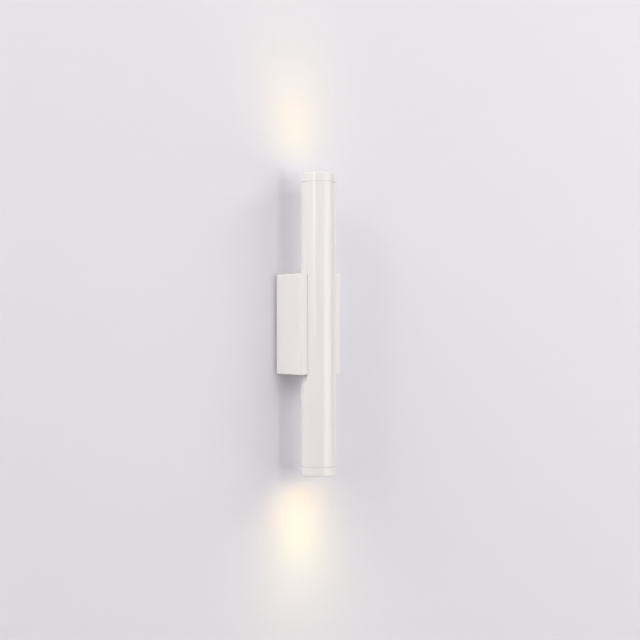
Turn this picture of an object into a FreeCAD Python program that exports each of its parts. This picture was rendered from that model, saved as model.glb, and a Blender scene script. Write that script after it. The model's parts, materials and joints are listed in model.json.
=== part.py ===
"""Tube wall light: an up-and-down light tube held in the cradle of a small wall box.

Frame: X to the right, Y into the wall, Z up. The wall is the plane Y = 0 and the
light stands out along -Y. The origin is the middle of the wall bracket's back face.
All lengths are in millimetres.
"""
import FreeCAD, Part

import math
import os
from types import SimpleNamespace

import Sketcher
from FreeCAD import Placement, Rotation, Vector

# Driving dimensions. Each one is a cell of the sheet, under the same name.
SIZES = {
    # the tube and its two ends
    "light_length": 300,
    "tube_diameter": 35,
    "tube_wall": 2,
    "bezel_height": 8.5,
    "bezel_chamfer": 0.5,
    "lip_width": 4.5,
    "lip_thickness": 1.2,
    "spigot_length": 6,
    "spigot_wall": 1.3,
    "thread_clearance": 0.08,
    "seam_gasket_thickness": 0.6,
    "seam_gasket_inset": 0.45,
    "seam_gasket_width": 1.2,
    "lens_thickness": 2,
    "lens_gasket_thickness": 0.5,
    "lens_clearance": 0.08,
    "snap_ring_thickness": 0.8,
    "snap_ring_width": 1.3,
    "snap_ring_gap": 5,
    "snap_groove_depth": 0.6,
    "face_clearance": 0.05,
    # the light engine inside each end
    "board_depth": 22.4,
    "board_thickness": 1.6,
    "board_margin": 3.5,
    "board_screw_inset": 2.5,
    "emitter_thickness": 1.2,
    "reflector_clearance": 0.3,
    "reflector_screw_gap": 0.8,
    "emitter_clearance": 0.8,
    "reflector_wall": 0.8,
    "reflector_neck": 2,
    "reflector_height": 15,
    "heat_sink_height": 22,
    "heat_sink_plate": 6,
    "heat_sink_core": 15,
    "heat_sink_slot": 2,
    "heat_sink_slots": 12,
    "plug_clearance": 0.05,
    # the wall box
    "tube_stand_off": 18.5,
    "tube_protrusion": 13,
    "box_side_margin": 8.5,
    "box_height": 100,
    "box_wall": 2.5,
    "cradle_wall": 2,
    "cradle_clearance": 0.05,
    "corner_radius": 2.5,
    "inner_corner_radius": 1.5,
    "edge_radius": 1.2,
    "lip_radius": 0.4,
    "wall_gasket_thickness": 1,
    "wall_gasket_inset": 0.8,
    # the wall bracket
    "bracket_thickness": 1.5,
    "bracket_side_gap": 5,
    "bracket_corner": 4,
    "bracket_clearance": 0.3,
    "ear_width": 14,
    "ear_reach": 12,
    "bend_radius": 1,
    "slot_spacing": 76,
    "slot_width": 4.5,
    "slot_length": 8,
    "lock_screw_from_wall": 7,
    # cable entry and terminals
    "cable_entry_drop": 9,
    "cable_hole_diameter": 10,
    "cable_bore_diameter": 7,
    "grommet_flange": 1.5,
    "grommet_flange_thickness": 1.4,
    "terminal_drop": 22.5,
    "terminal_pitch": 8,
    "terminal_cheek": 1,
    "terminal_height": 11,
    "terminal_depth": 8.5,
    "terminal_bore": 3.4,
    "earth_screw_inset": 5.5,
    "mains_lead_diameter": 1.8,
    # the driver
    "driver_width": 30,
    "driver_height": 34,
    "driver_depth": 9.5,
    "driver_wall": 1.2,
    "driver_cover_thickness": 1,
    "driver_side_gap": 0.5,
    "driver_ear_height": 10,
    "driver_bottom": -1,
    "driver_boss_diameter": 6,
    "driver_seat_gap": 0.3,
    "driver_board_thickness": 1.2,
    "driver_board_gap": 0.3,
    "transformer_width": 15,
    "transformer_height": 12,
    "transformer_depth": 5.2,
    "transformer_corner": 1,
    "capacitor_diameter": 5,
    "capacitor_length": 11,
    "driver_part_margin": 2.5,
    # the tube's fixing inside the box
    "tube_screw_spacing": 60,
    "seat_diameter": 10,
    "seat_rise": 0.6,
    "nut_bar_width": 12,
    "nut_bar_thickness": 4,
    "nut_bar_margin": 8,
    "wire_hole_drop": 10,
    "wire_hole_diameter": 8,
    "wire_grommet_bore": 5.2,
    "led_lead_diameter": 1.3,
    "led_lead_spread": 2,
    "led_lead_offset": 4,
    "led_lead_bend": 2,
    "led_lead_stand_back": 3.4,
    "led_lead_row_step": 1.6,
    # screws
    "screw_clearance": 0.2,
    "tap_clearance": 0.05,
    "lock_screw_diameter": 3,
    "lock_screw_length": 6,
    "lock_screw_head": 5.6,
    "tube_screw_diameter": 4,
    "tube_screw_head": 7.6,
    "tube_screw_head_height": 2.2,
    "tube_screw_length": 9,
    "tube_screw_slot": 1.2,
    "small_screw_diameter": 2.5,
    "small_screw_head": 4.5,
    "small_screw_head_height": 1.6,
    "small_screw_slot": 0.6,
    "clamp_screw_slot": 0.5,
    "earth_screw_length": 5,
    "driver_screw_length": 7,
    "terminal_screw_length": 10,
    "terminal_screw_head": 3.4,
    "board_screw_diameter": 2,
    "board_screw_head": 3.2,
    "board_screw_head_height": 1.1,
    "board_screw_length": 6,
    "board_screw_slot": 0.5,
    "washer_diameter": 7,
    "washer_thickness": 0.5,
}

doc = FreeCAD.newDocument("TubeWallLight")


class Size:
    """A length that carries both its number and the sheet formula that gives it."""

    def __init__(self, number, formula):
        self.number = number
        self.formula = formula

    def __add__(self, other):
        other = as_size(other)
        return Size(self.number + other.number, f"({self.formula} + {other.formula})")

    def __sub__(self, other):
        other = as_size(other)
        return Size(self.number - other.number, f"({self.formula} - {other.formula})")

    def __mul__(self, other):
        other = as_size(other)
        return Size(self.number * other.number, f"({self.formula} * {other.formula})")

    def __truediv__(self, other):
        other = as_size(other)
        return Size(self.number / other.number, f"({self.formula} / {other.formula})")

    def __neg__(self):
        return Size(-self.number, f"(0 - {self.formula})")

    def __radd__(self, other):
        return as_size(other) + self

    def __rsub__(self, other):
        return as_size(other) - self

    __rmul__ = __mul__


def as_size(value):
    """Turns a plain number into a Size, and leaves a Size as it is."""
    if isinstance(value, Size):
        return value
    return Size(float(value), f"({float(value)})")


def half_chord(radius, offset):
    """Half the chord that a line at this offset from the centre cuts from a circle."""
    number = math.sqrt(radius.number ** 2 - offset.number ** 2)
    return Size(number, f"sqrt({radius.formula}^2 - {offset.formula}^2)")


def fill_sheet():
    """Writes the driving dimensions to the sheet and returns them as Sizes."""
    sheet = doc.addObject("Spreadsheet::Sheet", "Sizes")
    named = SimpleNamespace()
    for row, (name, number) in enumerate(SIZES.items(), start=1):
        sheet.set(f"A{row}", name)
        sheet.set(f"B{row}", str(number))
        sheet.setAlias(f"B{row}", name)
        setattr(named, name, Size(float(number), f"Sizes.{name}"))
    doc.recompute()
    return named


size = fill_sheet()

# Lengths that several pieces share, worked out from the driving ones.
tube_r = size.tube_diameter / 2
bore_r = tube_r - size.tube_wall
axis_y = -(size.tube_stand_off + tube_r)
half_length = size.light_length / 2
box_half_width = tube_r + size.box_side_margin
box_half_height = size.box_height / 2
box_front = -(size.tube_stand_off + size.tube_diameter - size.tube_protrusion)
rim_y = -size.wall_gasket_thickness
inner_half_width = box_half_width - size.box_wall
inner_half_height = box_half_height - size.box_wall
inner_front = box_front + size.box_wall
groove_r = tube_r + size.cradle_clearance
cradle_r = groove_r + size.cradle_wall
seat_y = -(size.tube_stand_off - size.cradle_clearance - size.cradle_wall - size.seat_rise)
bracket_half_width = inner_half_width - size.bracket_side_gap
bracket_front = -size.bracket_thickness
earth_screw_x = bracket_half_width - size.earth_screw_inset
ear_outside = inner_half_height - size.bracket_clearance
driver_front = seat_y + size.tube_screw_head_height + size.driver_seat_gap
driver_back = driver_front + size.driver_depth
driver_half_width = size.driver_width / 2
driver_half_height = size.driver_height / 2
driver_middle = size.driver_bottom + driver_half_height
driver_ear_end = inner_half_width - size.driver_side_gap
driver_ear_x = (driver_half_width + driver_ear_end) / 2
driver_board_back = driver_front + size.driver_wall + size.driver_board_thickness
terminal_half_width = size.terminal_pitch * 1.5 + size.terminal_cheek
terminal_front = -(size.bracket_thickness + size.terminal_depth)
terminal_bore_y = -(size.bracket_thickness + size.terminal_depth / 2)

# Heights inside an end, measured from the light's end face and negative inwards.
shoulder_z = -size.bezel_height
spigot_r = bore_r - size.thread_clearance
spigot_bore = spigot_r - size.spigot_wall
spigot_end = shoulder_z - size.spigot_length
opening_r = tube_r - size.lip_width
lens_gasket_top = -(size.lip_thickness + size.face_clearance)
lens_top = lens_gasket_top - size.lens_gasket_thickness
lens_bottom = lens_top - size.lens_thickness
lens_r = spigot_bore - size.lens_clearance
snap_top = lens_bottom - size.face_clearance
snap_bottom = snap_top - size.snap_ring_thickness
board_top = -size.board_depth
board_bottom = board_top - size.board_thickness
board_r = bore_r - size.board_margin
board_screw_x = board_r - size.board_screw_inset
throat_outer_r = board_screw_x - size.board_screw_head / 2 - size.reflector_screw_gap
throat_r = throat_outer_r - size.reflector_wall
emitter_r = throat_r - size.emitter_clearance


# ---------------------------------------------------------------- modelling helpers

def bind(thing, **lengths):
    """Binds properties to the sheet; Base_x, Base_y and Base_z place the object."""
    for name, length in lengths.items():
        path = name.replace("Base_", "Placement.Base.")
        thing.setExpression(path, as_size(length).formula)
    return thing


def place(thing, at=(0, 0, 0), turn=None):
    """Puts a piece at a bound point, after turning it."""
    if turn is not None:
        thing.Placement = Placement(Vector(0, 0, 0), turn)
    return bind(thing, Base_x=at[0], Base_y=at[1], Base_z=at[2])


def new_body(label):
    """A new body whose label names the piece."""
    body = doc.addObject("PartDesign::Body", label)
    body.Label = label
    return body


def origin_part(body, role):
    """One of the body's own origin planes or axes."""
    return next(item for item in body.Origin.OriginFeatures if item.Role == role)


def sketch_on(body, name, role, lift=None):
    """A sketch on an origin plane of the body, lifted along the plane's normal."""
    sketch = body.newObject("Sketcher::SketchObject", name)
    sketch.AttachmentSupport = (origin_part(body, role), [""])
    sketch.MapMode = "FlatFace"
    if lift is not None:
        sketch.setExpression("AttachmentOffset.Base.z", as_size(lift).formula)
    return sketch


def pin(sketch, kind, curve, point, length):
    """Holds one coordinate of a sketch point, bound to the sheet."""
    length = as_size(length)
    index = sketch.addConstraint(
        Sketcher.Constraint(kind, -1, 1, curve, point, length.number))
    sketch.setExpression(f"Constraints[{index}]", length.formula)


def add_circle(sketch, u, v, radius):
    """A circle at (u, v)."""
    u, v, radius = as_size(u), as_size(v), as_size(radius)
    centre = Vector(u.number, v.number, 0)
    curve = sketch.addGeometry(Part.Circle(centre, Vector(0, 0, 1), radius.number), False)
    pin(sketch, "DistanceX", curve, 3, u)
    pin(sketch, "DistanceY", curve, 3, v)
    index = sketch.addConstraint(Sketcher.Constraint("Radius", curve, radius.number))
    sketch.setExpression(f"Constraints[{index}]", radius.formula)


def add_outline(sketch, corners, arcs=None):
    """A closed outline of lines; arcs gives (centre u, centre v, turn) by corner.

    The stretch from a corner to the next is an arc where arcs names that corner;
    turn is 1 for an arc that runs anticlockwise and -1 for a clockwise one.
    """
    arcs = arcs or {}
    corners = [(as_size(u), as_size(v)) for u, v in corners]
    points = [Vector(u.number, v.number, 0) for u, v in corners]
    count = len(points)
    curves = []
    for i in range(count):
        if i in arcs:
            curves.append(add_arc(sketch, points[i], points[(i + 1) % count], arcs[i]))
        else:
            line = Part.LineSegment(points[i], points[(i + 1) % count])
            curves.append((sketch.addGeometry(line, False), 1, 2))
    for i in range(count):
        this_curve, this_end = curves[i][0], curves[i][2]
        next_curve, next_start = curves[(i + 1) % count][:2]
        sketch.addConstraint(Sketcher.Constraint(
            "Coincident", this_curve, this_end, next_curve, next_start))
    for i, (u, v) in enumerate(corners):
        curve, start = curves[i][:2]
        arc_before = arcs.get((i - 1) % count)
        across = along = True
        if arc_before:
            spoke = points[i] - centre_of(arc_before)
            across = abs(spoke.y) > abs(spoke.x)
            along = not across
        if across:
            pin(sketch, "DistanceX", curve, start, u)
        if along:
            pin(sketch, "DistanceY", curve, start, v)


def centre_of(arc):
    """The centre of an arc given as (centre u, centre v, turn)."""
    return Vector(as_size(arc[0]).number, as_size(arc[1]).number, 0)


def add_arc(sketch, start, end, arc):
    """Adds an arc and returns its curve and the numbers of its two end points."""
    centre = centre_of(arc)
    circle = Part.Circle(centre, Vector(0, 0, 1), (start - centre).Length)
    first, last = (start, end) if arc[2] > 0 else (end, start)
    angles = [math.atan2((p - centre).y, (p - centre).x) for p in (first, last)]
    curve = sketch.addGeometry(Part.ArcOfCircle(circle, *angles), False)
    pin(sketch, "DistanceX", curve, 3, arc[0])
    pin(sketch, "DistanceY", curve, 3, arc[1])
    return (curve, 1, 2) if arc[2] > 0 else (curve, 2, 1)


def add_box_outline(sketch, half_u, half_v, v=0):
    """A rectangle about (0, v)."""
    v = as_size(v)
    add_outline(sketch, [(-half_u, v - half_v), (half_u, v - half_v),
                         (half_u, v + half_v), (-half_u, v + half_v)])


def add_rounded_box(sketch, half_u, half_v, radius, v=0):
    """A rectangle about (0, v) with round corners."""
    u, v = as_size(half_u), as_size(v)
    low, high = v - half_v, v + half_v
    right, left = u - radius, radius - u
    corners = [(left, low), (right, low), (u, low + radius), (u, high - radius),
               (right, high), (left, high), (-u, high - radius), (-u, low + radius)]
    arcs = {1: (right, low + radius, 1), 3: (right, high - radius, 1),
            5: (left, high - radius, 1), 7: (left, low + radius, 1)}
    add_outline(sketch, corners, arcs)


def add_slot(sketch, width, length, u, v):
    """A slot that runs along v, with round ends."""
    side = width / 2
    reach = (length - width) / 2
    u, v = as_size(u), as_size(v)
    corners = [(u + side, v - reach), (u + side, v + reach),
               (u - side, v + reach), (u - side, v - reach)]
    add_outline(sketch, corners, {1: (u, v + reach, 1), 3: (u, v - reach, 1)})


def pad(body, sketch, length, both_ways=False, back=False):
    """Raises a sketch into a solid."""
    feature = body.newObject("PartDesign::Pad", f"{sketch.Name}Pad")
    return set_extent(feature, sketch, length, both_ways, back)


def pocket(body, sketch, length, both_ways=False, back=False):
    """Cuts a sketch out of the body, against the sketch's normal unless back."""
    feature = body.newObject("PartDesign::Pocket", f"{sketch.Name}Cut")
    before = feature.BaseFeature.Shape.Volume
    set_extent(feature, sketch, length, both_ways, back)
    doc.recompute()
    if feature.Shape.Volume > before - 1e-3:
        raise RuntimeError(f"{feature.Name} of {body.Label} cuts nothing")
    return feature


def set_extent(feature, sketch, length, both_ways, back):
    """Gives a pad or pocket its sketch, length and side."""
    feature.Profile = sketch
    feature.SideType = "Symmetric" if both_ways else "One side"
    feature.Reversed = back
    feature.setExpression("Length", as_size(length).formula)
    doc.recompute()
    return feature


def revolve(body, name, corners, arcs=None):
    """Turns a half section, given as (radius, height), about the body's own Z axis."""
    sketch = sketch_on(body, name, "XZ_Plane")
    add_outline(sketch, corners, arcs)
    feature = body.newObject("PartDesign::Revolution", f"{name}Turn")
    feature.Profile = sketch
    feature.ReferenceAxis = (sketch, ["V_Axis"])
    feature.Angle = 360
    doc.recompute()
    return feature


def dress(body, kind, length, pick):
    """Rounds (Fillet) or bevels (Chamfer) the edges of the body's tip that pick chooses."""
    tip = body.Tip
    edges = [f"Edge{i}" for i, edge in enumerate(tip.Shape.Edges, start=1)
             if not edge.Degenerated and pick(edge)]
    if not edges:
        raise RuntimeError(f"no edge to dress on {body.Label}")
    feature = body.newObject(f"PartDesign::{kind}", f"{body.Name}{kind}")
    feature.Base = (tip, edges)
    prop = "Radius" if kind == "Fillet" else "Size"
    feature.setExpression(prop, as_size(length).formula)
    doc.recompute()
    return feature


def near(value, length):
    """Whether a measured number is this length."""
    return abs(value - as_size(length).number) < 1e-3


def middle(edge):
    """The middle of an edge's box."""
    return edge.BoundBox.Center


def is_line_along(edge, axis):
    """Whether an edge is straight and runs along an axis, named x, y or z."""
    if edge.Curve.TypeId != "Part::GeomLine":
        return False
    return abs(getattr(edge.Curve.Direction, axis)) > 0.999


def is_circle(edge, radius):
    """Whether an edge is a circle or an arc of this radius."""
    return edge.Curve.TypeId == "Part::GeomCircle" and near(edge.Curve.Radius, radius)


def group(label, members):
    """One node that holds several separate solids."""
    compound = doc.addObject("Part::Compound", label)
    compound.Label = label
    compound.Links = members
    return compound


OUTWARD = {
    "front": Rotation(Vector(0, 0, 1), Vector(0, -1, 0)),
    "back": Rotation(Vector(0, 0, 1), Vector(0, 1, 0)),
    "up": Rotation(),
    "down": Rotation(Vector(1, 0, 0), 180),
}


def pan_screw(label, diameter, length, head, head_height, recess, at, facing):
    """A screw whose head stands on the seat at the point and faces outward."""
    body = new_body(label)
    radius = diameter / 2
    revolve(body, f"{label}Half", [(0, -length), (radius, -length), (radius, 0),
                                   (head / 2, 0), (head / 2, head_height), (0, head_height)])
    drive = sketch_on(body, f"{label}Drive", "XY_Plane", head_height)
    add_box_outline(drive, diameter / 2, recess / 2)
    pocket(body, drive, head_height / 2)
    return place(body, at, OUTWARD[facing])


# ---------------------------------------------------------------- wall side

def make_wall_gasket():
    """Foam strip under the box's rim, a little smaller than the box all round."""
    body = new_body("wall_gasket")
    strip = sketch_on(body, "WallGasketStrip", "XZ_Plane")
    add_box_outline(strip, box_half_width - size.wall_gasket_inset,
                    box_half_height - size.wall_gasket_inset)
    add_box_outline(strip, inner_half_width, inner_half_height)
    pad(body, strip, size.wall_gasket_thickness)
    return body


def make_wall_bracket():
    """Folded steel plate with an ear at each end, slots for the wall screws and tapped holes."""
    body = new_body("wall_bracket")
    inside, outside = size.bend_radius, size.bend_radius + size.bracket_thickness
    flat = ear_outside - outside
    ear_inside = ear_outside - size.bracket_thickness
    profile = sketch_on(body, "BracketFold", "YZ_Plane")
    corners = [(0, -flat), (0, flat), (-outside, ear_outside), (-size.ear_reach, ear_outside),
               (-size.ear_reach, ear_inside), (-outside, ear_inside), (bracket_front, flat),
               (bracket_front, -flat), (-outside, -ear_inside), (-size.ear_reach, -ear_inside),
               (-size.ear_reach, -ear_outside), (-outside, -ear_outside)]
    arcs = {1: (-outside, flat, 1), 5: (-outside, flat, -1),
            7: (-outside, -flat, -1), 11: (-outside, -flat, 1)}
    add_outline(profile, corners, arcs)
    pad(body, profile, size.ear_width, both_ways=True)
    plate = sketch_on(body, "BracketPlate", "XZ_Plane")
    add_rounded_box(plate, bracket_half_width, flat - inside, size.bracket_corner)
    pad(body, plate, size.bracket_thickness)

    tap = size.small_screw_diameter / 2 + size.tap_clearance
    holes = sketch_on(body, "BracketHoles", "XZ_Plane")
    for side in (-1, 1):
        add_slot(holes, size.slot_width, size.slot_length, 0, side * size.slot_spacing / 2)
        add_circle(holes, side * size.terminal_pitch / 2, -size.terminal_drop, tap)
    add_circle(holes, 0, -size.cable_entry_drop, size.cable_hole_diameter / 2)
    add_circle(holes, earth_screw_x, -size.cable_entry_drop, tap)
    pocket(body, holes, size.bracket_thickness, back=True)

    ears = sketch_on(body, "EarHoles", "XY_Plane")
    add_circle(ears, 0, -size.lock_screw_from_wall,
               size.lock_screw_diameter / 2 + size.tap_clearance)
    pocket(body, ears, size.box_height, both_ways=True)
    return body


def make_cable_grommet():
    """Rubber bush in the bracket's cable hole, with one flange on the room side."""
    body = new_body("cable_grommet")
    hole = size.cable_hole_diameter / 2 - size.tap_clearance
    bore = size.cable_bore_diameter / 2
    flange = size.cable_hole_diameter / 2 + size.grommet_flange
    reach = size.bracket_thickness + size.grommet_flange_thickness
    revolve(body, "CableGrommetHalf", [(bore, 0), (hole, 0), (hole, size.bracket_thickness),
                                       (flange, size.bracket_thickness), (flange, reach),
                                       (bore, reach)])
    return place(body, (0, 0, -size.cable_entry_drop), OUTWARD["front"])


def make_terminal_block():
    """Three-pole strip: a wire bore and two screw wells for each pole."""
    body = new_body("terminal_block")
    block = sketch_on(body, "TerminalBlock", "XZ_Plane", size.bracket_thickness)
    add_box_outline(block, terminal_half_width, size.terminal_height / 2,
                    -size.terminal_drop)
    pad(body, block, size.terminal_depth)
    bores = sketch_on(body, "TerminalBores", "XY_Plane", -size.terminal_drop)
    for pole in (-1, 0, 1):
        add_circle(bores, pole * size.terminal_pitch, terminal_bore_y, size.terminal_bore / 2)
    pocket(body, bores, size.terminal_height, both_ways=True)
    wells = sketch_on(body, "TerminalWells", "XZ_Plane", -terminal_front)
    well = size.small_screw_diameter / 2 + size.tap_clearance
    for x, z in terminal_wells():
        add_circle(wells, x, z, well)
    pocket(body, wells, size.terminal_depth / 2)
    fixings = sketch_on(body, "TerminalFixings", "XZ_Plane", -terminal_front)
    for side in (-1, 1):
        add_circle(fixings, side * size.terminal_pitch / 2, -size.terminal_drop, well)
    pocket(body, fixings, size.terminal_depth)
    return body


def terminal_wells():
    """Where the wire clamping screws sit on the block's front."""
    rise = size.terminal_height / 4
    return [(pole * size.terminal_pitch, -size.terminal_drop + row * rise)
            for pole in (-1, 0, 1) for row in (-1, 1)]


def make_terminal_screws():
    """The six small screws that clamp the wires, set flush in their wells."""
    screws = []
    for index, (x, z) in enumerate(terminal_wells()):
        body = new_body(f"clamp_screw_{index}")
        radius = size.small_screw_diameter / 2
        depth = size.terminal_depth / 2 - size.terminal_bore / 2
        revolve(body, f"ClampScrew{index}", [(0, -depth), (radius, -depth), (radius, 0), (0, 0)])
        slot = sketch_on(body, f"ClampSlot{index}", "XY_Plane")
        add_box_outline(slot, radius * 2, size.clamp_screw_slot / 2)
        pocket(body, slot, radius / 2)
        screws.append(place(body, (x, terminal_front, z), OUTWARD["front"]))
    return group("terminal_screws", screws)


def make_terminal_fixings():
    """The two screws that hold the terminal block on the bracket."""
    screws = []
    for index, side in enumerate((-1, 1)):
        at = (side * size.terminal_pitch / 2, terminal_front, -size.terminal_drop)
        screws.append(small_screw(f"block_screw_{index}", size.terminal_screw_length,
                                  size.terminal_screw_head, at))
    return group("terminal_block_screws", screws)


def small_screw(label, length, head, at, facing="front"):
    """A small pan-head screw."""
    return pan_screw(label, size.small_screw_diameter, length, head,
                     size.small_screw_head_height, size.small_screw_slot, at, facing)


def make_earth_screw():
    """The earth screw, on its washer."""
    at = (earth_screw_x, bracket_front - size.washer_thickness,
          -size.cable_entry_drop)
    return small_screw("earth_screw", size.earth_screw_length - size.bracket_thickness * 2,
                       size.small_screw_head, at)


def make_earth_washer():
    """The cupped washer under the earth screw."""
    body = new_body("earth_washer")
    bore = size.small_screw_diameter / 2 + size.screw_clearance
    revolve(body, "EarthWasherHalf", [(bore, 0), (size.washer_diameter / 2, 0),
                                      (size.washer_diameter / 2, size.washer_thickness),
                                      (bore, size.washer_thickness)])
    at = (earth_screw_x, bracket_front, -size.cable_entry_drop)
    return place(body, at, OUTWARD["front"])


# ---------------------------------------------------------------- the wall box

def make_housing():
    """Cast box, open to the wall, whose front wraps the tube in a round cradle."""
    body = new_body("housing")
    block = sketch_on(body, "HousingBlock", "XY_Plane")
    side, corner = box_half_width, size.corner_radius
    add_outline(block,
                [(-side, rim_y), (-side, box_front + corner), (corner - side, box_front),
                 (side - corner, box_front), (side, box_front + corner), (side, rim_y)],
                {1: (corner - side, box_front + corner, 1),
                 3: (side - corner, box_front + corner, 1)})
    pad(body, block, size.box_height, both_ways=True)
    hollow_housing(body)
    add_housing_seats(body)
    groove = sketch_on(body, "TubeGroove", "XY_Plane")
    add_circle(groove, 0, axis_y, groove_r)
    pocket(body, groove, size.box_height + size.box_wall, both_ways=True)
    round_housing(body)
    drill_housing(body)
    return body


def hollow_housing(body):
    """Cuts the inside out from the back and leaves the cradle's own round wall."""
    hollow = sketch_on(body, "HousingHollow", "XY_Plane")
    wide, front = inner_half_width, inner_front
    radius = size.inner_corner_radius
    meet = half_chord(cradle_r, inner_front - axis_y)
    corners = [(-wide, 0), (wide, 0), (wide, front + radius), (wide - radius, front),
               (meet, front), (-meet, front), (radius - wide, front), (-wide, front + radius)]
    arcs = {2: (wide - radius, front + radius, -1), 4: (0, axis_y, 1),
            6: (radius - wide, front + radius, -1)}
    add_outline(hollow, corners[::-1], turned(arcs, len(corners)))
    pocket(body, hollow, inner_half_height * 2, both_ways=True)


def turned(arcs, count):
    """The same arcs for an outline whose corners are listed the other way round."""
    return {(count - 2 - i) % count: (u, v, -turn) for i, (u, v, turn) in arcs.items()}


def add_housing_seats(body):
    """Flat seats for the tube screws and the wire bush, and two posts for the driver."""
    seats = sketch_on(body, "TubeScrewSeats", "XZ_Plane", -seat_y)
    for side in (-1, 1):
        add_circle(seats, 0, side * size.tube_screw_spacing / 2, size.seat_diameter / 2)
    add_circle(seats, 0, -size.wire_hole_drop, size.wire_hole_diameter / 2 + size.grommet_flange)
    pad(body, seats, size.cradle_wall + size.seat_rise)
    posts = sketch_on(body, "DriverPosts", "XZ_Plane", -driver_front)
    for side in (-1, 1):
        add_circle(posts, side * driver_ear_x, driver_middle, size.driver_boss_diameter / 2)
    pad(body, posts, driver_front - inner_front)


def round_housing(body):
    """Rounds the outer rims of the top and bottom faces and the cradle's two lips."""
    lip_x = half_chord(groove_r, box_front - axis_y)
    dress(body, "Fillet", size.lip_radius,
          lambda edge: is_line_along(edge, "z") and near(abs(middle(edge).x), lip_x)
          and near(middle(edge).y, box_front))
    flat = box_half_height.number

    def is_outer_rim(edge):
        centre = middle(edge)
        if abs(abs(centre.z) - flat) > 1e-3 or edge.BoundBox.ZLength > 1e-3:
            return False
        if is_line_along(edge, "y"):
            return near(abs(centre.x), box_half_width)
        if is_line_along(edge, "x"):
            return near(centre.y, box_front)
        return is_circle(edge, size.corner_radius)

    dress(body, "Fillet", size.edge_radius, is_outer_rim)


def drill_housing(body):
    """The countersunk locking holes, and the holes through the cradle and the posts."""
    lock = sketch_on(body, "LockHoles", "XY_Plane")
    lock_r = size.lock_screw_diameter / 2 + size.screw_clearance
    add_circle(lock, 0, -size.lock_screw_from_wall, lock_r)
    pocket(body, lock, size.box_height + size.box_wall, both_ways=True)
    dress(body, "Chamfer", (size.lock_screw_head - size.lock_screw_diameter) / 2,
          lambda edge: is_circle(edge, lock_r) and near(abs(middle(edge).z), box_half_height))
    through = sketch_on(body, "CradleHoles", "XZ_Plane", size.tube_stand_off + size.tube_wall)
    for side in (-1, 1):
        add_circle(through, 0, side * size.tube_screw_spacing / 2,
                   size.tube_screw_diameter / 2 + size.screw_clearance)
    add_circle(through, 0, -size.wire_hole_drop, size.wire_hole_diameter / 2)
    pocket(body, through, size.tube_stand_off)
    taps = sketch_on(body, "PostHoles", "XZ_Plane", -driver_front)
    taps.setExpression("AttachmentOffset.Base.z",
                       (size.driver_screw_length - driver_front).formula)
    for side in (-1, 1):
        add_circle(taps, side * driver_ear_x, driver_middle,
                   size.small_screw_diameter / 2 + size.tap_clearance)
    pocket(body, taps, size.driver_screw_length)


def make_housing_screws():
    """The two countersunk screws that lock the box to the bracket's ears."""
    screws = []
    for name, side, facing in (("top", 1, "up"), ("bottom", -1, "down")):
        body = new_body(f"{name}_lock_screw")
        radius, head = size.lock_screw_diameter / 2, size.lock_screw_head / 2
        revolve(body, f"{name}LockHalf",
                [(0, -size.lock_screw_length), (radius, -size.lock_screw_length),
                 (radius, radius - head), (head, 0), (0, 0)])
        drive = sketch_on(body, f"{name}LockDrive", "XY_Plane")
        add_circle(drive, 0, 0, size.lock_screw_diameter / 3)
        pocket(body, drive, size.lock_screw_diameter / 3)
        at = (0, -size.lock_screw_from_wall,
              side * (box_half_height - size.screw_clearance))
        screws.append(place(body, at, OUTWARD[facing]))
    return group("housing_screws", screws)


# ---------------------------------------------------------------- the driver

def make_driver_case():
    """Plastic tray, open to the wall, with an ear on each side."""
    body = new_body("driver_case")
    tray = sketch_on(body, "DriverTray", "XZ_Plane", -driver_back)
    add_rounded_box(tray, driver_half_width, driver_half_height, size.driver_wall,
                    driver_middle)
    pad(body, tray, size.driver_depth)
    ears = sketch_on(body, "DriverEars", "XZ_Plane", -driver_front - size.driver_wall)
    add_box_outline(ears, driver_ear_end, size.driver_ear_height / 2, driver_middle)
    pad(body, ears, size.driver_wall)
    inside = sketch_on(body, "DriverInside", "XZ_Plane", -driver_back)
    add_box_outline(inside, driver_half_width - size.driver_wall,
                    driver_half_height - size.driver_wall, driver_middle)
    pocket(body, inside, size.driver_depth - size.driver_wall, back=True)
    holes = sketch_on(body, "DriverEarHoles", "XZ_Plane", -driver_front)
    for side in (-1, 1):
        add_circle(holes, side * driver_ear_x, driver_middle,
                   size.small_screw_diameter / 2 + size.screw_clearance)
    pocket(body, holes, size.driver_wall)
    exits = sketch_on(body, "DriverLeadExits", "XY_Plane",
                      size.driver_bottom + size.driver_wall)
    for side in (-1, 1):
        add_circle(exits, side * size.terminal_pitch, terminal_bore_y,
                   size.mains_lead_diameter / 2 + size.screw_clearance)
    room = size.led_lead_diameter / 2 + size.screw_clearance
    add_box_outline(exits, size.led_lead_spread / 2 + room, size.led_lead_row_step / 2 + room,
                    seat_y + size.grommet_flange_thickness + size.led_lead_stand_back)
    pocket(body, exits, size.driver_wall)
    return body


def make_driver_board():
    """Circuit board on the floor of the tray."""
    body = new_body("driver_board")
    board = sketch_on(body, "DriverBoard", "XZ_Plane", -driver_board_back)
    inset = size.driver_wall + size.driver_board_gap
    add_box_outline(board, driver_half_width - inset, driver_half_height - inset, driver_middle)
    pad(body, board, size.driver_board_thickness)
    return body


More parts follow.
